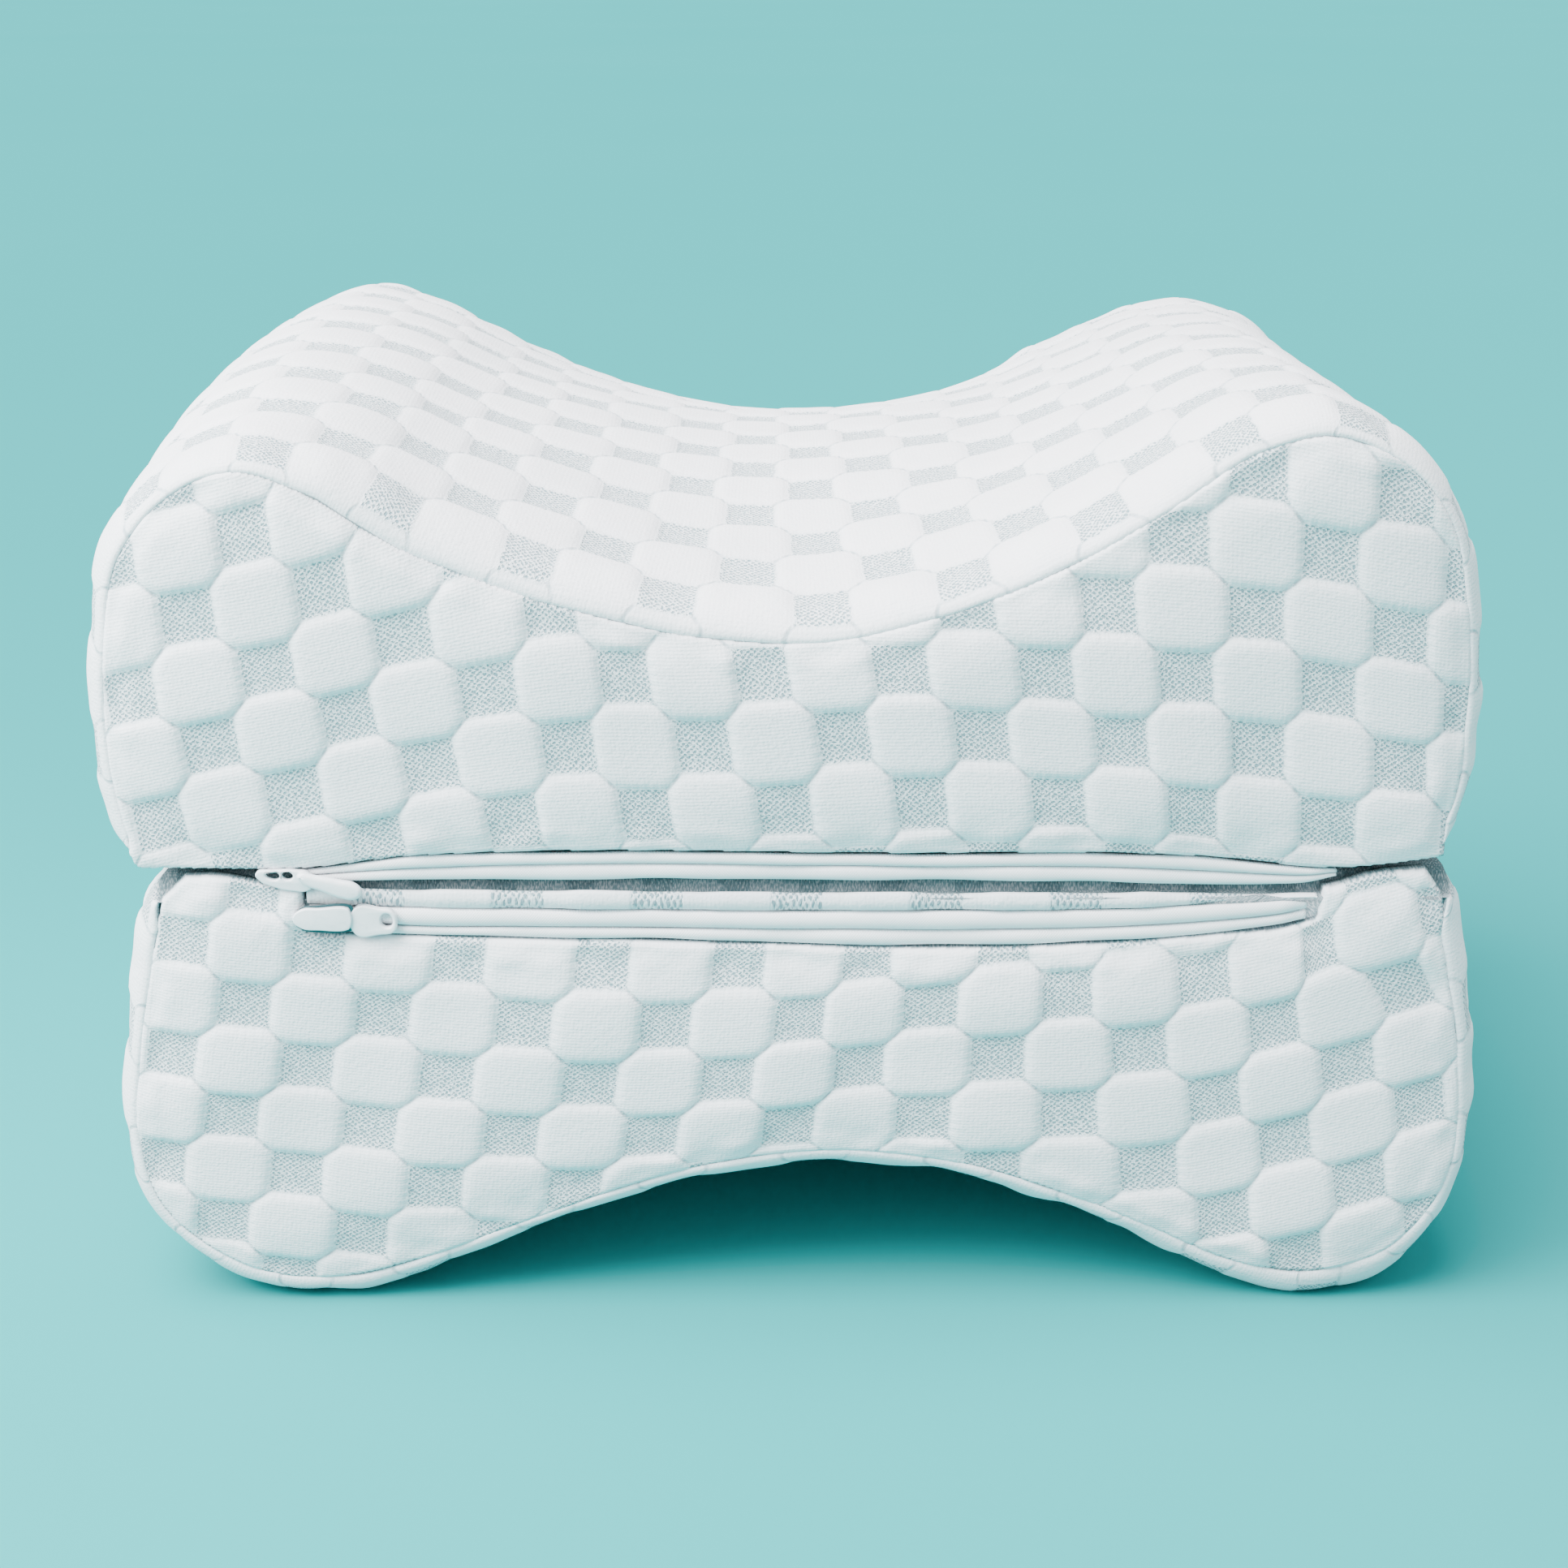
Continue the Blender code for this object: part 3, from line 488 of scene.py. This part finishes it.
def panel(name, outline, knit, side, steps, seed, drawn=0.0):
    """Quilted end panel: the knit raised on a grid that follows its lean, trimmed to the outline."""
    s_line = np.arange(-11 * steps, 11 * steps + 1) / steps
    t_line = np.arange(-8 * steps, 6 * steps + 1) / steps
    places = read_knit(knit, s_line)
    x = places[None, :, 0] + t_line[:, None] * places[None, :, 2]
    z = places[None, :, 1] + t_line[:, None] * places[None, :, 3]
    x = x - drawn * smooth((x - DRAWN_X[0]) / np.ptp(DRAWN_X)) * smooth(
        (t_line[:, None] - DRAWN_ROWS[0]) / np.ptp(DRAWN_ROWS))
    x = x + 0.45 * ripple(x, z, 55.0, seed)
    z = z + 0.45 * ripple(x, z, 55.0, seed + 1)
    s = np.broadcast_to(s_line[None] + 1.0, x.shape)
    t = np.broadcast_to(t_line[:, None], x.shape)
    spots = np.stack([x, z], axis=2).reshape(-1, 2)
    inside, nearest = depth_inside(spots, outline)
    inside = inside.reshape(x.shape)
    cell = PITCH / steps
    kept = inside > -0.7 * cell
    quads = kept[:-1, :-1] & kept[:-1, 1:] & kept[1:, 1:] & kept[1:, :-1]
    index = np.arange(x.size).reshape(x.shape)
    faces = np.stack([index[:-1, :-1], index[:-1, 1:], index[1:, 1:], index[1:, :-1]], axis=2)[quads]
    used, faces = np.unique(faces, return_inverse=True)
    faces = faces.reshape(-1, 4)
    spots = spots[used]
    inside = inside.reshape(-1)[used]
    uv = np.stack([s.reshape(-1)[used], t.reshape(-1)[used]], axis=1)
    edges = np.concatenate([faces[:, [0, 1]], faces[:, [1, 2]], faces[:, [2, 3]], faces[:, [3, 0]]])
    ordered = np.sort(edges, axis=1)
    _, first, times = np.unique(ordered, axis=0, return_index=True, return_counts=True)
    border = edges[first[times == 1]]
    rim = np.unique(border)
    spots[rim] = nearest[used][rim]
    inside[rim] = 0.0
    depth = panel_depth(spots, np.maximum(inside, 0.0), uv, seed)
    front = np.column_stack([spots[:, 0], side * depth, spots[:, 1]])
    follow = dict(border.tolist())
    loop = [int(border[0, 0])]
    while follow[loop[-1]] != loop[0]:
        loop.append(follow[loop[-1]])
    back = np.column_stack([spots[loop, 0], np.full(len(loop), side * PANEL_BACK), spots[loop, 1]])
    count = len(front)
    total = len(loop)
    walls = [[loop[(k + 1) % total], loop[k], count + k, count + (k + 1) % total] for k in range(total)]
    faces = faces.tolist() + walls + [[count + k for k in range(total)]]
    # Painted shade on the panel's edge in its seam and on its hidden walls and back
    painted_shade = np.concatenate([(inside <= 0.0) * 1.0, np.ones(total)])
    made = grid_object(name, np.vstack([front, back]), faces, np.vstack([uv, uv[loop]]), painted_shade)
    face_outward(made)
    return made


def panel_depth(spots, inside, uv, seed):
    """How far in front of the middle plane a panel's surface lies."""
    rim = np.sqrt(1.0 - np.square(1.0 - np.clip(inside / PANEL_RIM_WIDTH, 0.0, 1.0)))
    crown = smooth(inside / PANEL_CROWN_REACH)
    share = smooth(inside / 4.5)
    relief = knit_relief(uv[:, 0], uv[:, 1], PANEL_RISE) - 0.1
    relief = relief * (0.25 + 0.75 * share) * smooth(inside / 0.9)
    slow = 0.35 * ripple(spots[:, 0], spots[:, 1], 42.0, seed + 2) * share
    pucker = 0.28 * ripple(spots[:, 0], spots[:, 1], 11.0, seed + 3) * np.exp(-np.square((inside - 3) / 3))
    return PANEL_EDGE + PANEL_RIM * rim + PANEL_CROWN * crown + relief + slow + pucker * smooth(inside)


def thin_outline(outline, least):
    """Outline without points closer together than the least distance."""
    kept = [outline[0]]
    for point in outline[1:]:
        if np.hypot(*(point - kept[-1])) >= least:
            kept.append(point)
    if np.hypot(*(kept[-1] - kept[0])) < least:
        kept.pop()
    return np.array(kept)


def upper_front_outline(half):
    """The upper front panel ends in a fold over its zip."""
    outline = half.seam_outline(-1, SEAM_GAP, OUTLINE_STEPS)
    fold = read_table(UPPER_FOLD, outline[:, 0])[:, 0]
    low = outline[:, 1] < 92.0
    outline = outline[~(low & (outline[:, 1] < fold))]
    xs = np.linspace(outline[-1, 0], outline[0, 0], 200)[1:-1]
    line = np.column_stack([xs, read_table(UPPER_FOLD, xs)[:, 0]])
    return thin_outline(np.vstack([outline, line]), OUTLINE_SPACING)


def lower_front_outline(half):
    """The lower front panel is open along its zip."""
    outline = half.seam_outline(-1, SEAM_GAP, OUTLINE_STEPS)
    outline = outline[outline[:, 1] < LOWER_SEAM_TOP]
    left, right = LOWER_OPENING
    edges = []
    for xs, table in ((np.linspace(LOWER_TOP[-1][0], right + 0.5, 60), LOWER_TOP),
                      (np.linspace(right, left, 190), LOWER_FOLD),
                      (np.linspace(left - 0.5, LOWER_TOP[0][0], 60), LOWER_TOP)):
        edges.append(np.column_stack([xs, read_table(table, xs)[:, 0]]))
    left_corner, right_corner = LOWER_CORNERS
    return thin_outline(np.vstack([outline, [right_corner], *edges, [left_corner]]), OUTLINE_SPACING)


def strip(name, xs, section_at, shaded=0):
    """Closed strip along X: a closed section (y, z) at each place, its last points in shade."""
    sections = np.array([section_at(x) for x in xs])
    rows, count = sections.shape[:2]
    points = np.concatenate([np.broadcast_to(np.asarray(xs)[:, None, None], (rows, count, 1)), sections],
                            axis=2).reshape(-1, 3)
    run = np.linspace(0.0, 0.25, count)
    uv = np.stack([np.broadcast_to(np.asarray(xs)[:, None] / PITCH, (rows, count)),
                   np.broadcast_to(run[None], (rows, count))], axis=2).reshape(-1, 2)
    faces = []
    for k in range(rows - 1):
        for n in range(count):
            m = (n + 1) % count
            faces.append((k * count + n, k * count + m, (k + 1) * count + m, (k + 1) * count + n))
    faces.append(tuple(range(count)))
    faces.append(tuple(range(rows * count - 1, rows * count - count - 1, -1)))
    # Painted shade on the last points of each section
    painted_shade = np.tile(np.arange(count) >= count - shaded, rows) * 1.0
    made = grid_object(name, points, faces, uv, painted_shade)
    face_outward(made)
    return made


def folded_section(low, high, front, back, steps=9):
    """Section (y, z) of a folded edge: round at the front, straight at the back."""
    middle = (low + high) / 2
    half_height = (high - low) / 2
    bulge = min(half_height, 1.6)
    turn = np.linspace(-pi / 2, pi / 2, steps)
    ys = -(front - bulge) - bulge * np.power(np.cos(turn), 0.7)
    zs = middle + half_height * np.sin(turn)
    return [(-back, low)] + list(zip(ys, zs)) + [(-back, high)]


def zip_tapes(name, table, front):
    """Two folded tapes that meet on the zip's line."""
    xs = np.linspace(table[0][0], table[-1][0], 330)

    def wave(x, seed):
        return 0.12 * float(ripple(np.array(x), np.array(0.0), 24.0, seed))

    def over(x):
        line, top, _ = read_table(table, x)[0]
        end = float(smooth(min(x - xs[0], xs[-1] - x) / 5.0))
        nearest = front - 0.6 + 0.7 * end + wave(x, 22)
        return folded_section(line + TAPE_GAP, top + wave(x, 21), nearest, PANEL_BACK)

    def under(x):
        line, _, low = read_table(table, x)[0]
        end = float(smooth(min(x - xs[0], xs[-1] - x) / 5.0))
        nearest = front - 0.8 + 0.7 * end + wave(x, 24)
        return folded_section(low + wave(x, 23), line - TAPE_GAP, nearest, PANEL_BACK)

    return [strip(name + "_tape_top", xs, over), strip(name + "_tape_bottom", xs, under)]


def facing():
    """Strip of the band's knit between the lower zip and the flat face, its upper edge a soft fold."""
    left, right = LOWER_OPENING
    xs = np.linspace(left + GAP, right - GAP, 300)

    def section(x):
        low = read_table(LOWER_ZIP, x)[0][1] + 0.2
        s = (x - FIRST_SQUARE_X) / PITCH_ACROSS
        hump = float(smooth(0.5 + 0.9 * cos(pi * (s - 1.0))))
        uneven = 0.14 * float(ripple(np.array(x), np.array(0.0), 17.0, 31))
        front = 97.5 + 0.35 * hump + uneven
        edge = read_table(FACING_TOP, x)[0][0] + 0.3 * hump + uneven
        return [(-PANEL_BACK, low - 0.1), (-(front - 0.9), low), (-(front - 0.15), low + 0.45),
                (-front, (low + edge) / 2), (-(front - 0.1), edge - 0.7), (-(front - 0.4), edge - 0.25),
                (-(front - 0.9), edge - 0.02), (-(front - 1.5), edge - 0.2), (-(front - 1.9), edge - 0.8),
                (-PANEL_BACK, edge - 2.0)]

    # The last two points of each section, where the upper fold turns back into the slot between the halves,
    # get painted shade
    return strip("lower_zip_facing_cloth", xs, section, 2)


def drawn_plate(name, loops, back, front, rounding):
    """Mesh of a plate with rounded edges from smooth closed loops (x, z), standing between two depths."""
    drawing = bpy.data.curves.new(name, "CURVE")
    drawing.dimensions = "2D"
    drawing.fill_mode = "BOTH"
    drawing.extrude = ((front - back) / 2 - rounding) * MM
    drawing.bevel_depth = rounding * MM
    drawing.bevel_resolution = 3
    drawing.offset = -rounding * MM
    for loop in loops:
        line = drawing.splines.new("BEZIER")
        line.bezier_points.add(len(loop) - 1)
        line.use_cyclic_u = True
        line.resolution_u = 6
        for point, (x, z) in zip(line.bezier_points, loop):
            point.co = (x * MM, z * MM, 0.0)
            point.handle_left_type = "AUTO"
            point.handle_right_type = "AUTO"
    drawn = bpy.data.objects.new(name, drawing)
    bpy.context.scene.collection.objects.link(drawn)
    bpy.context.view_layer.update()
    mesh = bpy.data.meshes.new_from_object(drawn)
    bpy.data.objects.remove(drawn)
    middle = -(front + back) / 2 * MM
    for vertex in mesh.vertices:
        x, z, y = vertex.co
        vertex.co = (x, middle + y, z)
    return mesh


def plate(name, outline, holes, back, front, bevel, shade=None):
    """Flat metal piece from its outline and holes, with a dark plate of painted shadow behind it where a
    shade outline is given.
    """
    layers = [(drawn_plate(name, [outline] + holes, back, front, bevel), 0.0)]
    # The plate behind is painted shadow, marked as fully shaded
    if shade:
        layers.append((drawn_plate(name, [shade], back, back + SHADE_THICK, SHADE_BEVEL), 1.0))
    work = bmesh.new()
    shading = work.verts.layers.float.new("painted_shade")
    for layer, dark in layers:
        known = len(work.verts)
        work.from_mesh(layer)
        work.verts.ensure_lookup_table()
        for vertex in work.verts[known:]:
            vertex[shading] = dark
    bmesh.ops.remove_doubles(work, verts=work.verts, dist=0.00001)
    bmesh.ops.recalc_face_normals(work, faces=work.faces)
    mesh = bpy.data.meshes.new(name)
    work.to_mesh(mesh)
    work.free()
    mesh.shade_smooth()
    whole = bpy.data.objects.new(name, mesh)
    bpy.context.scene.collection.objects.link(whole)
    return whole


class Nodes:
    """Short ways of adding shader nodes to a new material."""

    def __init__(self, name):
        self.material = bpy.data.materials.new(name)
        self.material.use_nodes = True
        self.tree = self.material.node_tree
        self.shader = self.tree.nodes["Principled BSDF"]

    def add(self, kind, **settings):
        node = self.tree.nodes.new(kind)
        for key, value in settings.items():
            setattr(node, key, value)
        return node

    def feed(self, socket, value):
        """Link a socket, or set its value."""
        if isinstance(value, bpy.types.NodeSocket):
            self.tree.links.new(value, socket)
        else:
            socket.default_value = value

    def math(self, operation, a, b=0.0, c=0.0):
        node = self.add("ShaderNodeMath", operation=operation)
        for socket, value in zip(node.inputs, (a, b, c)):
            self.feed(socket, value)
        return node.outputs[0]

    def ease(self, value, low, high, to_low=0.0, to_high=1.0):
        """Ease a value from one range to another."""
        node = self.add("ShaderNodeMapRange", interpolation_type="SMOOTHSTEP")
        for socket, number in zip(node.inputs[:5], (value, low, high, to_low, to_high)):
            self.feed(socket, number)
        return node.outputs[0]

    def noise(self, place, scale, detail=2.0):
        node = self.add("ShaderNodeTexNoise")
        self.feed(node.inputs["Vector"], place)
        node.inputs["Scale"].default_value = scale
        node.inputs["Detail"].default_value = detail
        return node.outputs[0]

    def mix(self, share, first, second):
        """Mix two colours."""
        node = self.add("ShaderNodeMix", data_type="RGBA")
        self.feed(node.inputs[0], share)
        for socket, colour in zip((node.inputs[6], node.inputs[7]), (first, second)):
            self.feed(socket, colour if isinstance(colour, bpy.types.NodeSocket) else (*colour, 1.0))
        return node.outputs[2]

    def near_lattice(self, a, b):
        """Offsets from the nearest place where a and b are whole and add up odd."""
        p = self.math("MULTIPLY", self.math("SUBTRACT", self.math("ADD", a, b), 1.0), 0.5)
        q = self.math("MULTIPLY", self.math("SUBTRACT", self.math("SUBTRACT", a, b), 1.0), 0.5)
        p = self.math("SUBTRACT", p, self.math("ROUND", p))
        q = self.math("SUBTRACT", q, self.math("ROUND", q))
        return p, q, self.math("ADD", p, q), self.math("SUBTRACT", p, q)

    def larger(self, a, b):
        """The larger of two sizes, whatever their signs."""
        return self.math("MAXIMUM", self.math("ABSOLUTE", a), self.math("ABSOLUTE", b))


def knit_material():
    """White quilted knit: smooth cushions, a birdseye mesh in the flat squares, stitched grooves, with
    painted shade in the holes, the grooves, round the cushions, at the seams and in crevices.
    """
    n = Nodes("white_quilted_knit")
    place = n.add("ShaderNodeTexCoord")
    uv = n.add("ShaderNodeUVMap", uv_map="knit").outputs[0]
    parts = n.add("ShaderNodeSeparateXYZ")
    n.feed(parts.inputs[0], uv)
    s, t = parts.outputs[0], parts.outputs[1]
    p, q, ds, dt = n.near_lattice(s, t)
    ragged = n.math("MULTIPLY", n.math("SUBTRACT", n.noise(uv, 9.0, 1.0), 0.5), 0.9)
    edge = n.math("MULTIPLY", n.math("SUBTRACT", CUSHION_HALF, n.larger(ds, dt)), PITCH)
    edge = n.math("ADD", edge, ragged)
    touch = n.math("MULTIPLY", n.math("SUBTRACT", 0.5, n.larger(p, q)), sqrt(2.0) * PITCH)
    cushion = n.ease(edge, -0.25, 0.35)
    mesh = n.math("SUBTRACT", 1.0, cushion)

    # Birdseye holes in staggered rows, a little uneven
    sway = n.math("MULTIPLY", n.math("SUBTRACT", n.noise(uv, 13.0, 2.0), 0.5), 1.8)
    sway_up = n.math("MULTIPLY", n.math("SUBTRACT", n.noise(uv, 16.0, 2.0), 0.5), 1.8)
    across = n.math("ADD", n.math("MULTIPLY", s, PITCH_ACROSS / 0.6), sway)
    up = n.math("ADD", n.math("MULTIPLY", t, PITCH_ALONG / 0.5), sway_up)
    _, _, hole_x, hole_y = n.near_lattice(across, up)
    squared = n.math("ADD", n.math("MULTIPLY", hole_x, hole_x), n.math("MULTIPLY", hole_y, hole_y))
    reach = n.math("SQRT", squared)
    patchy = n.ease(n.noise(uv, 26.0, 1.0), 0.35, 0.6, -0.16, 0.08)
    hole = n.math("SUBTRACT", 1.0, n.ease(n.math("SUBTRACT", reach, patchy), 0.3, 0.62))
    hole = n.math("MULTIPLY", hole, n.ease(edge, 0.15, -0.35))

    # Stitched grooves where cushions meet
    stitch_way = n.math("ADD", n.math("MULTIPLY", n.math("ADD", p, q), 38.0), n.math("MULTIPLY", ragged, 2.0))
    stitch = n.math("MULTIPLY", n.math("ADD", n.math("SINE", stitch_way), 1.0), 0.5)
    groove = n.math("MULTIPLY", cushion, n.ease(touch, 0.5, 0.05))
    groove = n.math("MULTIPLY", groove, n.math("ADD", 0.45, n.math("MULTIPLY", stitch, 0.55)))
    skirt = n.math("MULTIPLY", cushion, n.ease(edge, 1.3, 0.1))

    patches = n.noise(place.outputs["Object"], 26.0, 3.0)
    face = n.mix(n.ease(patches, 0.3, 0.7), (0.80, 0.815, 0.845), (0.86, 0.868, 0.90))
    threads = n.ease(n.noise(uv, 34.0, 2.0), 0.32, 0.66)
    ground = n.mix(threads, (0.50, 0.59, 0.63), (0.84, 0.87, 0.89))
    colour = n.mix(cushion, ground, face)
    # Painted shade in the birdseye holes
    colour = n.mix(n.math("MULTIPLY", hole, 0.95), colour, (0.17, 0.28, 0.32))
    # Painted shade in the stitched grooves, broken by the stitches
    colour = n.mix(n.math("MULTIPLY", groove, 0.8), colour, (0.33, 0.43, 0.47))
    # Painted shade round each cushion's sloping side
    colour = n.mix(n.math("MULTIPLY", skirt, 0.16), colour, (0.55, 0.64, 0.68))
    grain = n.noise(place.outputs["Object"], 1500.0, 2.0)
    colour = n.mix(n.ease(grain, 0.35, 0.7, 0.0, 0.16), colour, (0.60, 0.68, 0.72))
    # Painted shade, dark teal and a little patchy, where the mesh marks seams, crevices and hidden backs
    painted_shade = n.add("ShaderNodeAttribute", attribute_name="painted_shade").outputs["Fac"]
    painted_shade = n.math("MULTIPLY", n.ease(painted_shade, 0.4, 1.0), n.ease(n.noise(uv, 30.0, 1.0), 0.3, 0.6, 0.55, 0.95))
    colour = n.mix(painted_shade, colour, (0.10, 0.17, 0.19))
    n.feed(n.shader.inputs["Base Color"], colour)
    n.shader.inputs["Roughness"].default_value = 0.92
    n.shader.inputs["Specular IOR Level"].default_value = 0.22
    n.shader.inputs["Sheen Weight"].default_value = 0.12
    n.shader.inputs["Sheen Roughness"].default_value = 0.55

    # Courses of the knit on the cushions, holes in the mesh, and fine fuzz
    courses = n.math("SINE", n.math("ADD", n.math("MULTIPLY", t, 2 * pi * PITCH_ALONG / 0.62), sway))
    wales = n.math("SINE", n.math("ADD", n.math("MULTIPLY", s, 2 * pi * PITCH_ACROSS / 0.78), sway_up))
    fine = n.math("ADD", n.math("MULTIPLY", courses, 0.012), n.math("MULTIPLY", wales, 0.008))
    fine = n.math("MULTIPLY", fine, cushion)
    fuzz = n.math("ADD", n.math("MULTIPLY", n.noise(place.outputs["Object"], 2400.0, 2.0), 0.08),
                  n.math("MULTIPLY", n.noise(place.outputs["Object"], 1000.0, 2.0), 0.12))
    relief = n.math("ADD", fine, fuzz)
    relief = n.math("SUBTRACT", relief, n.math("MULTIPLY", hole, 0.16))
    relief = n.math("SUBTRACT", relief, n.math("MULTIPLY", groove, 0.12))
    relief = n.math("ADD", relief, n.math("MULTIPLY", n.math("MULTIPLY", n.noise(uv, 44.0, 2.0), mesh), 0.16))
    bump = n.add("ShaderNodeBump")
    bump.inputs["Strength"].default_value = 1.0
    bump.inputs["Distance"].default_value = MM
    n.feed(bump.inputs["Height"], relief)
    n.feed(n.shader.inputs["Normal"], bump.outputs[0])
    return n.material


def tape_material():
    """White woven zip tape, ribbed along its length."""
    n = Nodes("white_zip_tape")
    place = n.add("ShaderNodeTexCoord").outputs["Object"]
    parts = n.add("ShaderNodeSeparateXYZ")
    n.feed(parts.inputs[0], place)
    ribs = n.math("SINE", n.math("MULTIPLY", parts.outputs[2], 2 * pi / 0.00055))
    picks = n.math("SINE", n.math("MULTIPLY", parts.outputs[0], 2 * pi / 0.0005))
    weave = n.math("MULTIPLY", ribs, picks)
    worn = n.ease(n.noise(place, 90.0, 3.0), 0.35, 0.7)
    colour = n.mix(worn, (0.80, 0.82, 0.85), (0.87, 0.875, 0.90))
    colour = n.mix(n.ease(weave, 0.2, 1.0, 0.0, 0.12), colour, (0.62, 0.68, 0.71))
    n.feed(n.shader.inputs["Base Color"], colour)
    n.shader.inputs["Roughness"].default_value = 0.8
    n.shader.inputs["Specular IOR Level"].default_value = 0.3
    n.shader.inputs["Sheen Weight"].default_value = 0.1
    bump = n.add("ShaderNodeBump")
    bump.inputs["Distance"].default_value = MM
    n.feed(bump.inputs["Height"], n.math("MULTIPLY", weave, 0.03))
    n.feed(n.shader.inputs["Normal"], bump.outputs[0])
    return n.material


def pull_material():
    """White lacquered metal of the sliders and pulls, a little scuffed, and near black on the plate of
    painted shadow.
    """
    n = Nodes("white_lacquer")
    place = n.add("ShaderNodeTexCoord").outputs["Object"]
    scuff = n.ease(n.noise(place, 700.0, 4.0), 0.45, 0.75)
    # Painted shadow: near black where the mesh marks the plate behind the lower pull
    shade = n.add("ShaderNodeAttribute", attribute_name="painted_shade").outputs["Fac"]
    colour = n.mix(scuff, (0.83, 0.84, 0.87), (0.76, 0.79, 0.82))
    n.feed(n.shader.inputs["Base Color"], n.mix(n.ease(shade, 0.3, 0.8), colour, (0.02, 0.06, 0.07)))
    n.feed(n.shader.inputs["Roughness"], n.ease(scuff, 0.0, 1.0, 0.28, 0.5))
    n.shader.inputs["Coat Weight"].default_value = 0.25
    bump = n.add("ShaderNodeBump")
    bump.inputs["Distance"].default_value = MM
    n.feed(bump.inputs["Height"], n.math("MULTIPLY", scuff, 0.02))
    n.feed(n.shader.inputs["Normal"], bump.outputs[0])
    return n.material


def dress(made, look, slot, *nodes):
    """Finish a piece, and let it stand for its solids."""
    made.data.materials.append(look)
    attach(made, "root")
    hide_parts(*nodes)


def place_lamp(lamp, place, turn):
    """Put a lamp in the scene. place is in metres and turn in degrees."""
    holder = bpy.data.objects.new(lamp.name, lamp)
    holder.location = place
    holder.rotation_euler = [radians(value) for value in turn]
    bpy.context.scene.collection.objects.link(holder)


def stage():
    """Floor, light and camera."""
    bpy.ops.mesh.primitive_plane_add(size=60.0)
    floor = bpy.context.active_object
    floor.name = "floor"
    n = Nodes("floor_paper")
    place = n.add("ShaderNodeTexCoord").outputs["Object"]
    paper = n.mix(n.noise(place, 1.5, 2.0), (0.014, 0.262, 0.262), (0.016, 0.272, 0.272))
    n.feed(n.shader.inputs["Base Color"], paper)
    n.shader.inputs["Roughness"].default_value = 0.95
    n.shader.inputs["Specular IOR Level"].default_value = 0.0
    floor.data.materials.append(n.material)

    world = bpy.data.worlds.new("studio")
    bpy.context.scene.world = world
    world.use_nodes = True
    sky = world.node_tree.nodes["Background"]
    sky.inputs[0].default_value = (0.94, 0.97, 1.0, 1.0)
    sky.inputs[1].default_value = 1.3
    key = bpy.data.lights.new("key", "SUN")
    key.energy = 10.5
    key.angle = radians(55.0)
    key.color = (1.0, 0.985, 1.0)
    place_lamp(key, (0.0, 0.0, 1.0), (11.0, -24.0, 0.0))
    card = bpy.data.lights.new("left_card", "AREA")
    card.energy = 5.0
    card.size = 0.35
    place_lamp(card, (-0.33, -0.27, 0.36), (50.0, 0.0, -52.0))

    eye = bpy.data.cameras.new("camera")
    eye.lens = 59.63
    eye.sensor_width = 36.0
    camera = bpy.data.objects.new("camera", eye)
    camera.location = (-2.3 * MM, -535.0 * MM, 249.0 * MM)
    camera.rotation_euler = (radians(71.6), 0.0, 0.0)
    bpy.context.scene.collection.objects.link(camera)
    bpy.context.scene.camera = camera


def main():
    upper = Half("upper", UPPER_PROFILE, 1, UPPER_SEAM_INSET, UPPER_SEAM_DROP)
    lower = Half("lower", LOWER_PROFILE, -1, LOWER_SEAM_INSET, LOWER_SEAM_DROP)
    knit = knit_material()
    for half, step in ((upper, UPPER_BAND_STEP), (lower, LOWER_BAND_STEP)):
        made = band(half, step)
        dress(made, knit, "knit_cover", half.name + "_cushion")
    fronts = ((upper, upper_front_outline(upper), UPPER_KNIT, 11, 0.0),
              (lower, lower_front_outline(lower), LOWER_KNIT, 61, DRAWN_IN))
    for half, outline, table, seed, drawn in fronts:
        made = panel(half.name + "_front_cloth", outline, table, -1, FRONT_PANEL_STEPS, seed, drawn)
        dress(made, knit, "knit_cover", half.name + "_front_panel")
    for half, seed in ((upper, 41), (lower, 51)):
        level = [(c, FIRST_SQUARE_X + PITCH_ACROSS * (c + 1), half.base + half.up * 30.0, 0.0, PITCH_ALONG)
                 for c in (-12, 0, 12)]
        outline = thin_outline(half.seam_outline(1, SEAM_GAP, OUTLINE_STEPS), 0.5)
        made = panel(half.name + "_back_cloth", outline, level, 1, BACK_PANEL_STEPS, seed)
        dress(made, knit, "knit_cover", half.name + "_back_panel")
    made = facing()
    dress(made, knit, "knit_cover", "lower_zip_facing")
    tape = tape_material()
    for name, table in (("upper_zip", UPPER_ZIP), ("lower_zip", LOWER_ZIP)):
        for made, end in zip(zip_tapes(name, table, TAPE_FRONT), ("_tape_top", "_tape_bottom")):
            made.name = name + end + "_cloth"
            dress(made, tape, "zip_tape", name + end)
    lacquer = pull_material()
    for name, outline, holes, back, front, bevel, shade in (
            ("upper_zip_slider", UPPER_SLIDER, UPPER_SLIDER_HOLES, 97.6, 98.9, 0.35, None),
            ("upper_zip_pull", UPPER_PULL, [], 98.6, 100.4, 0.8, None),
            ("lower_zip_pull", LOWER_PULL, [], 98.9, 100.1, 0.25, LOWER_PULL_SHADE),
            ("lower_zip_slider", LOWER_SLIDER, LOWER_SLIDER_HOLES, 97.9, 99.5, 0.35, None)):
        made = plate(name + "_metal", outline, holes, back, front, bevel, shade)
        dress(made, lacquer, "zip_hardware", name)
    stage()


main()
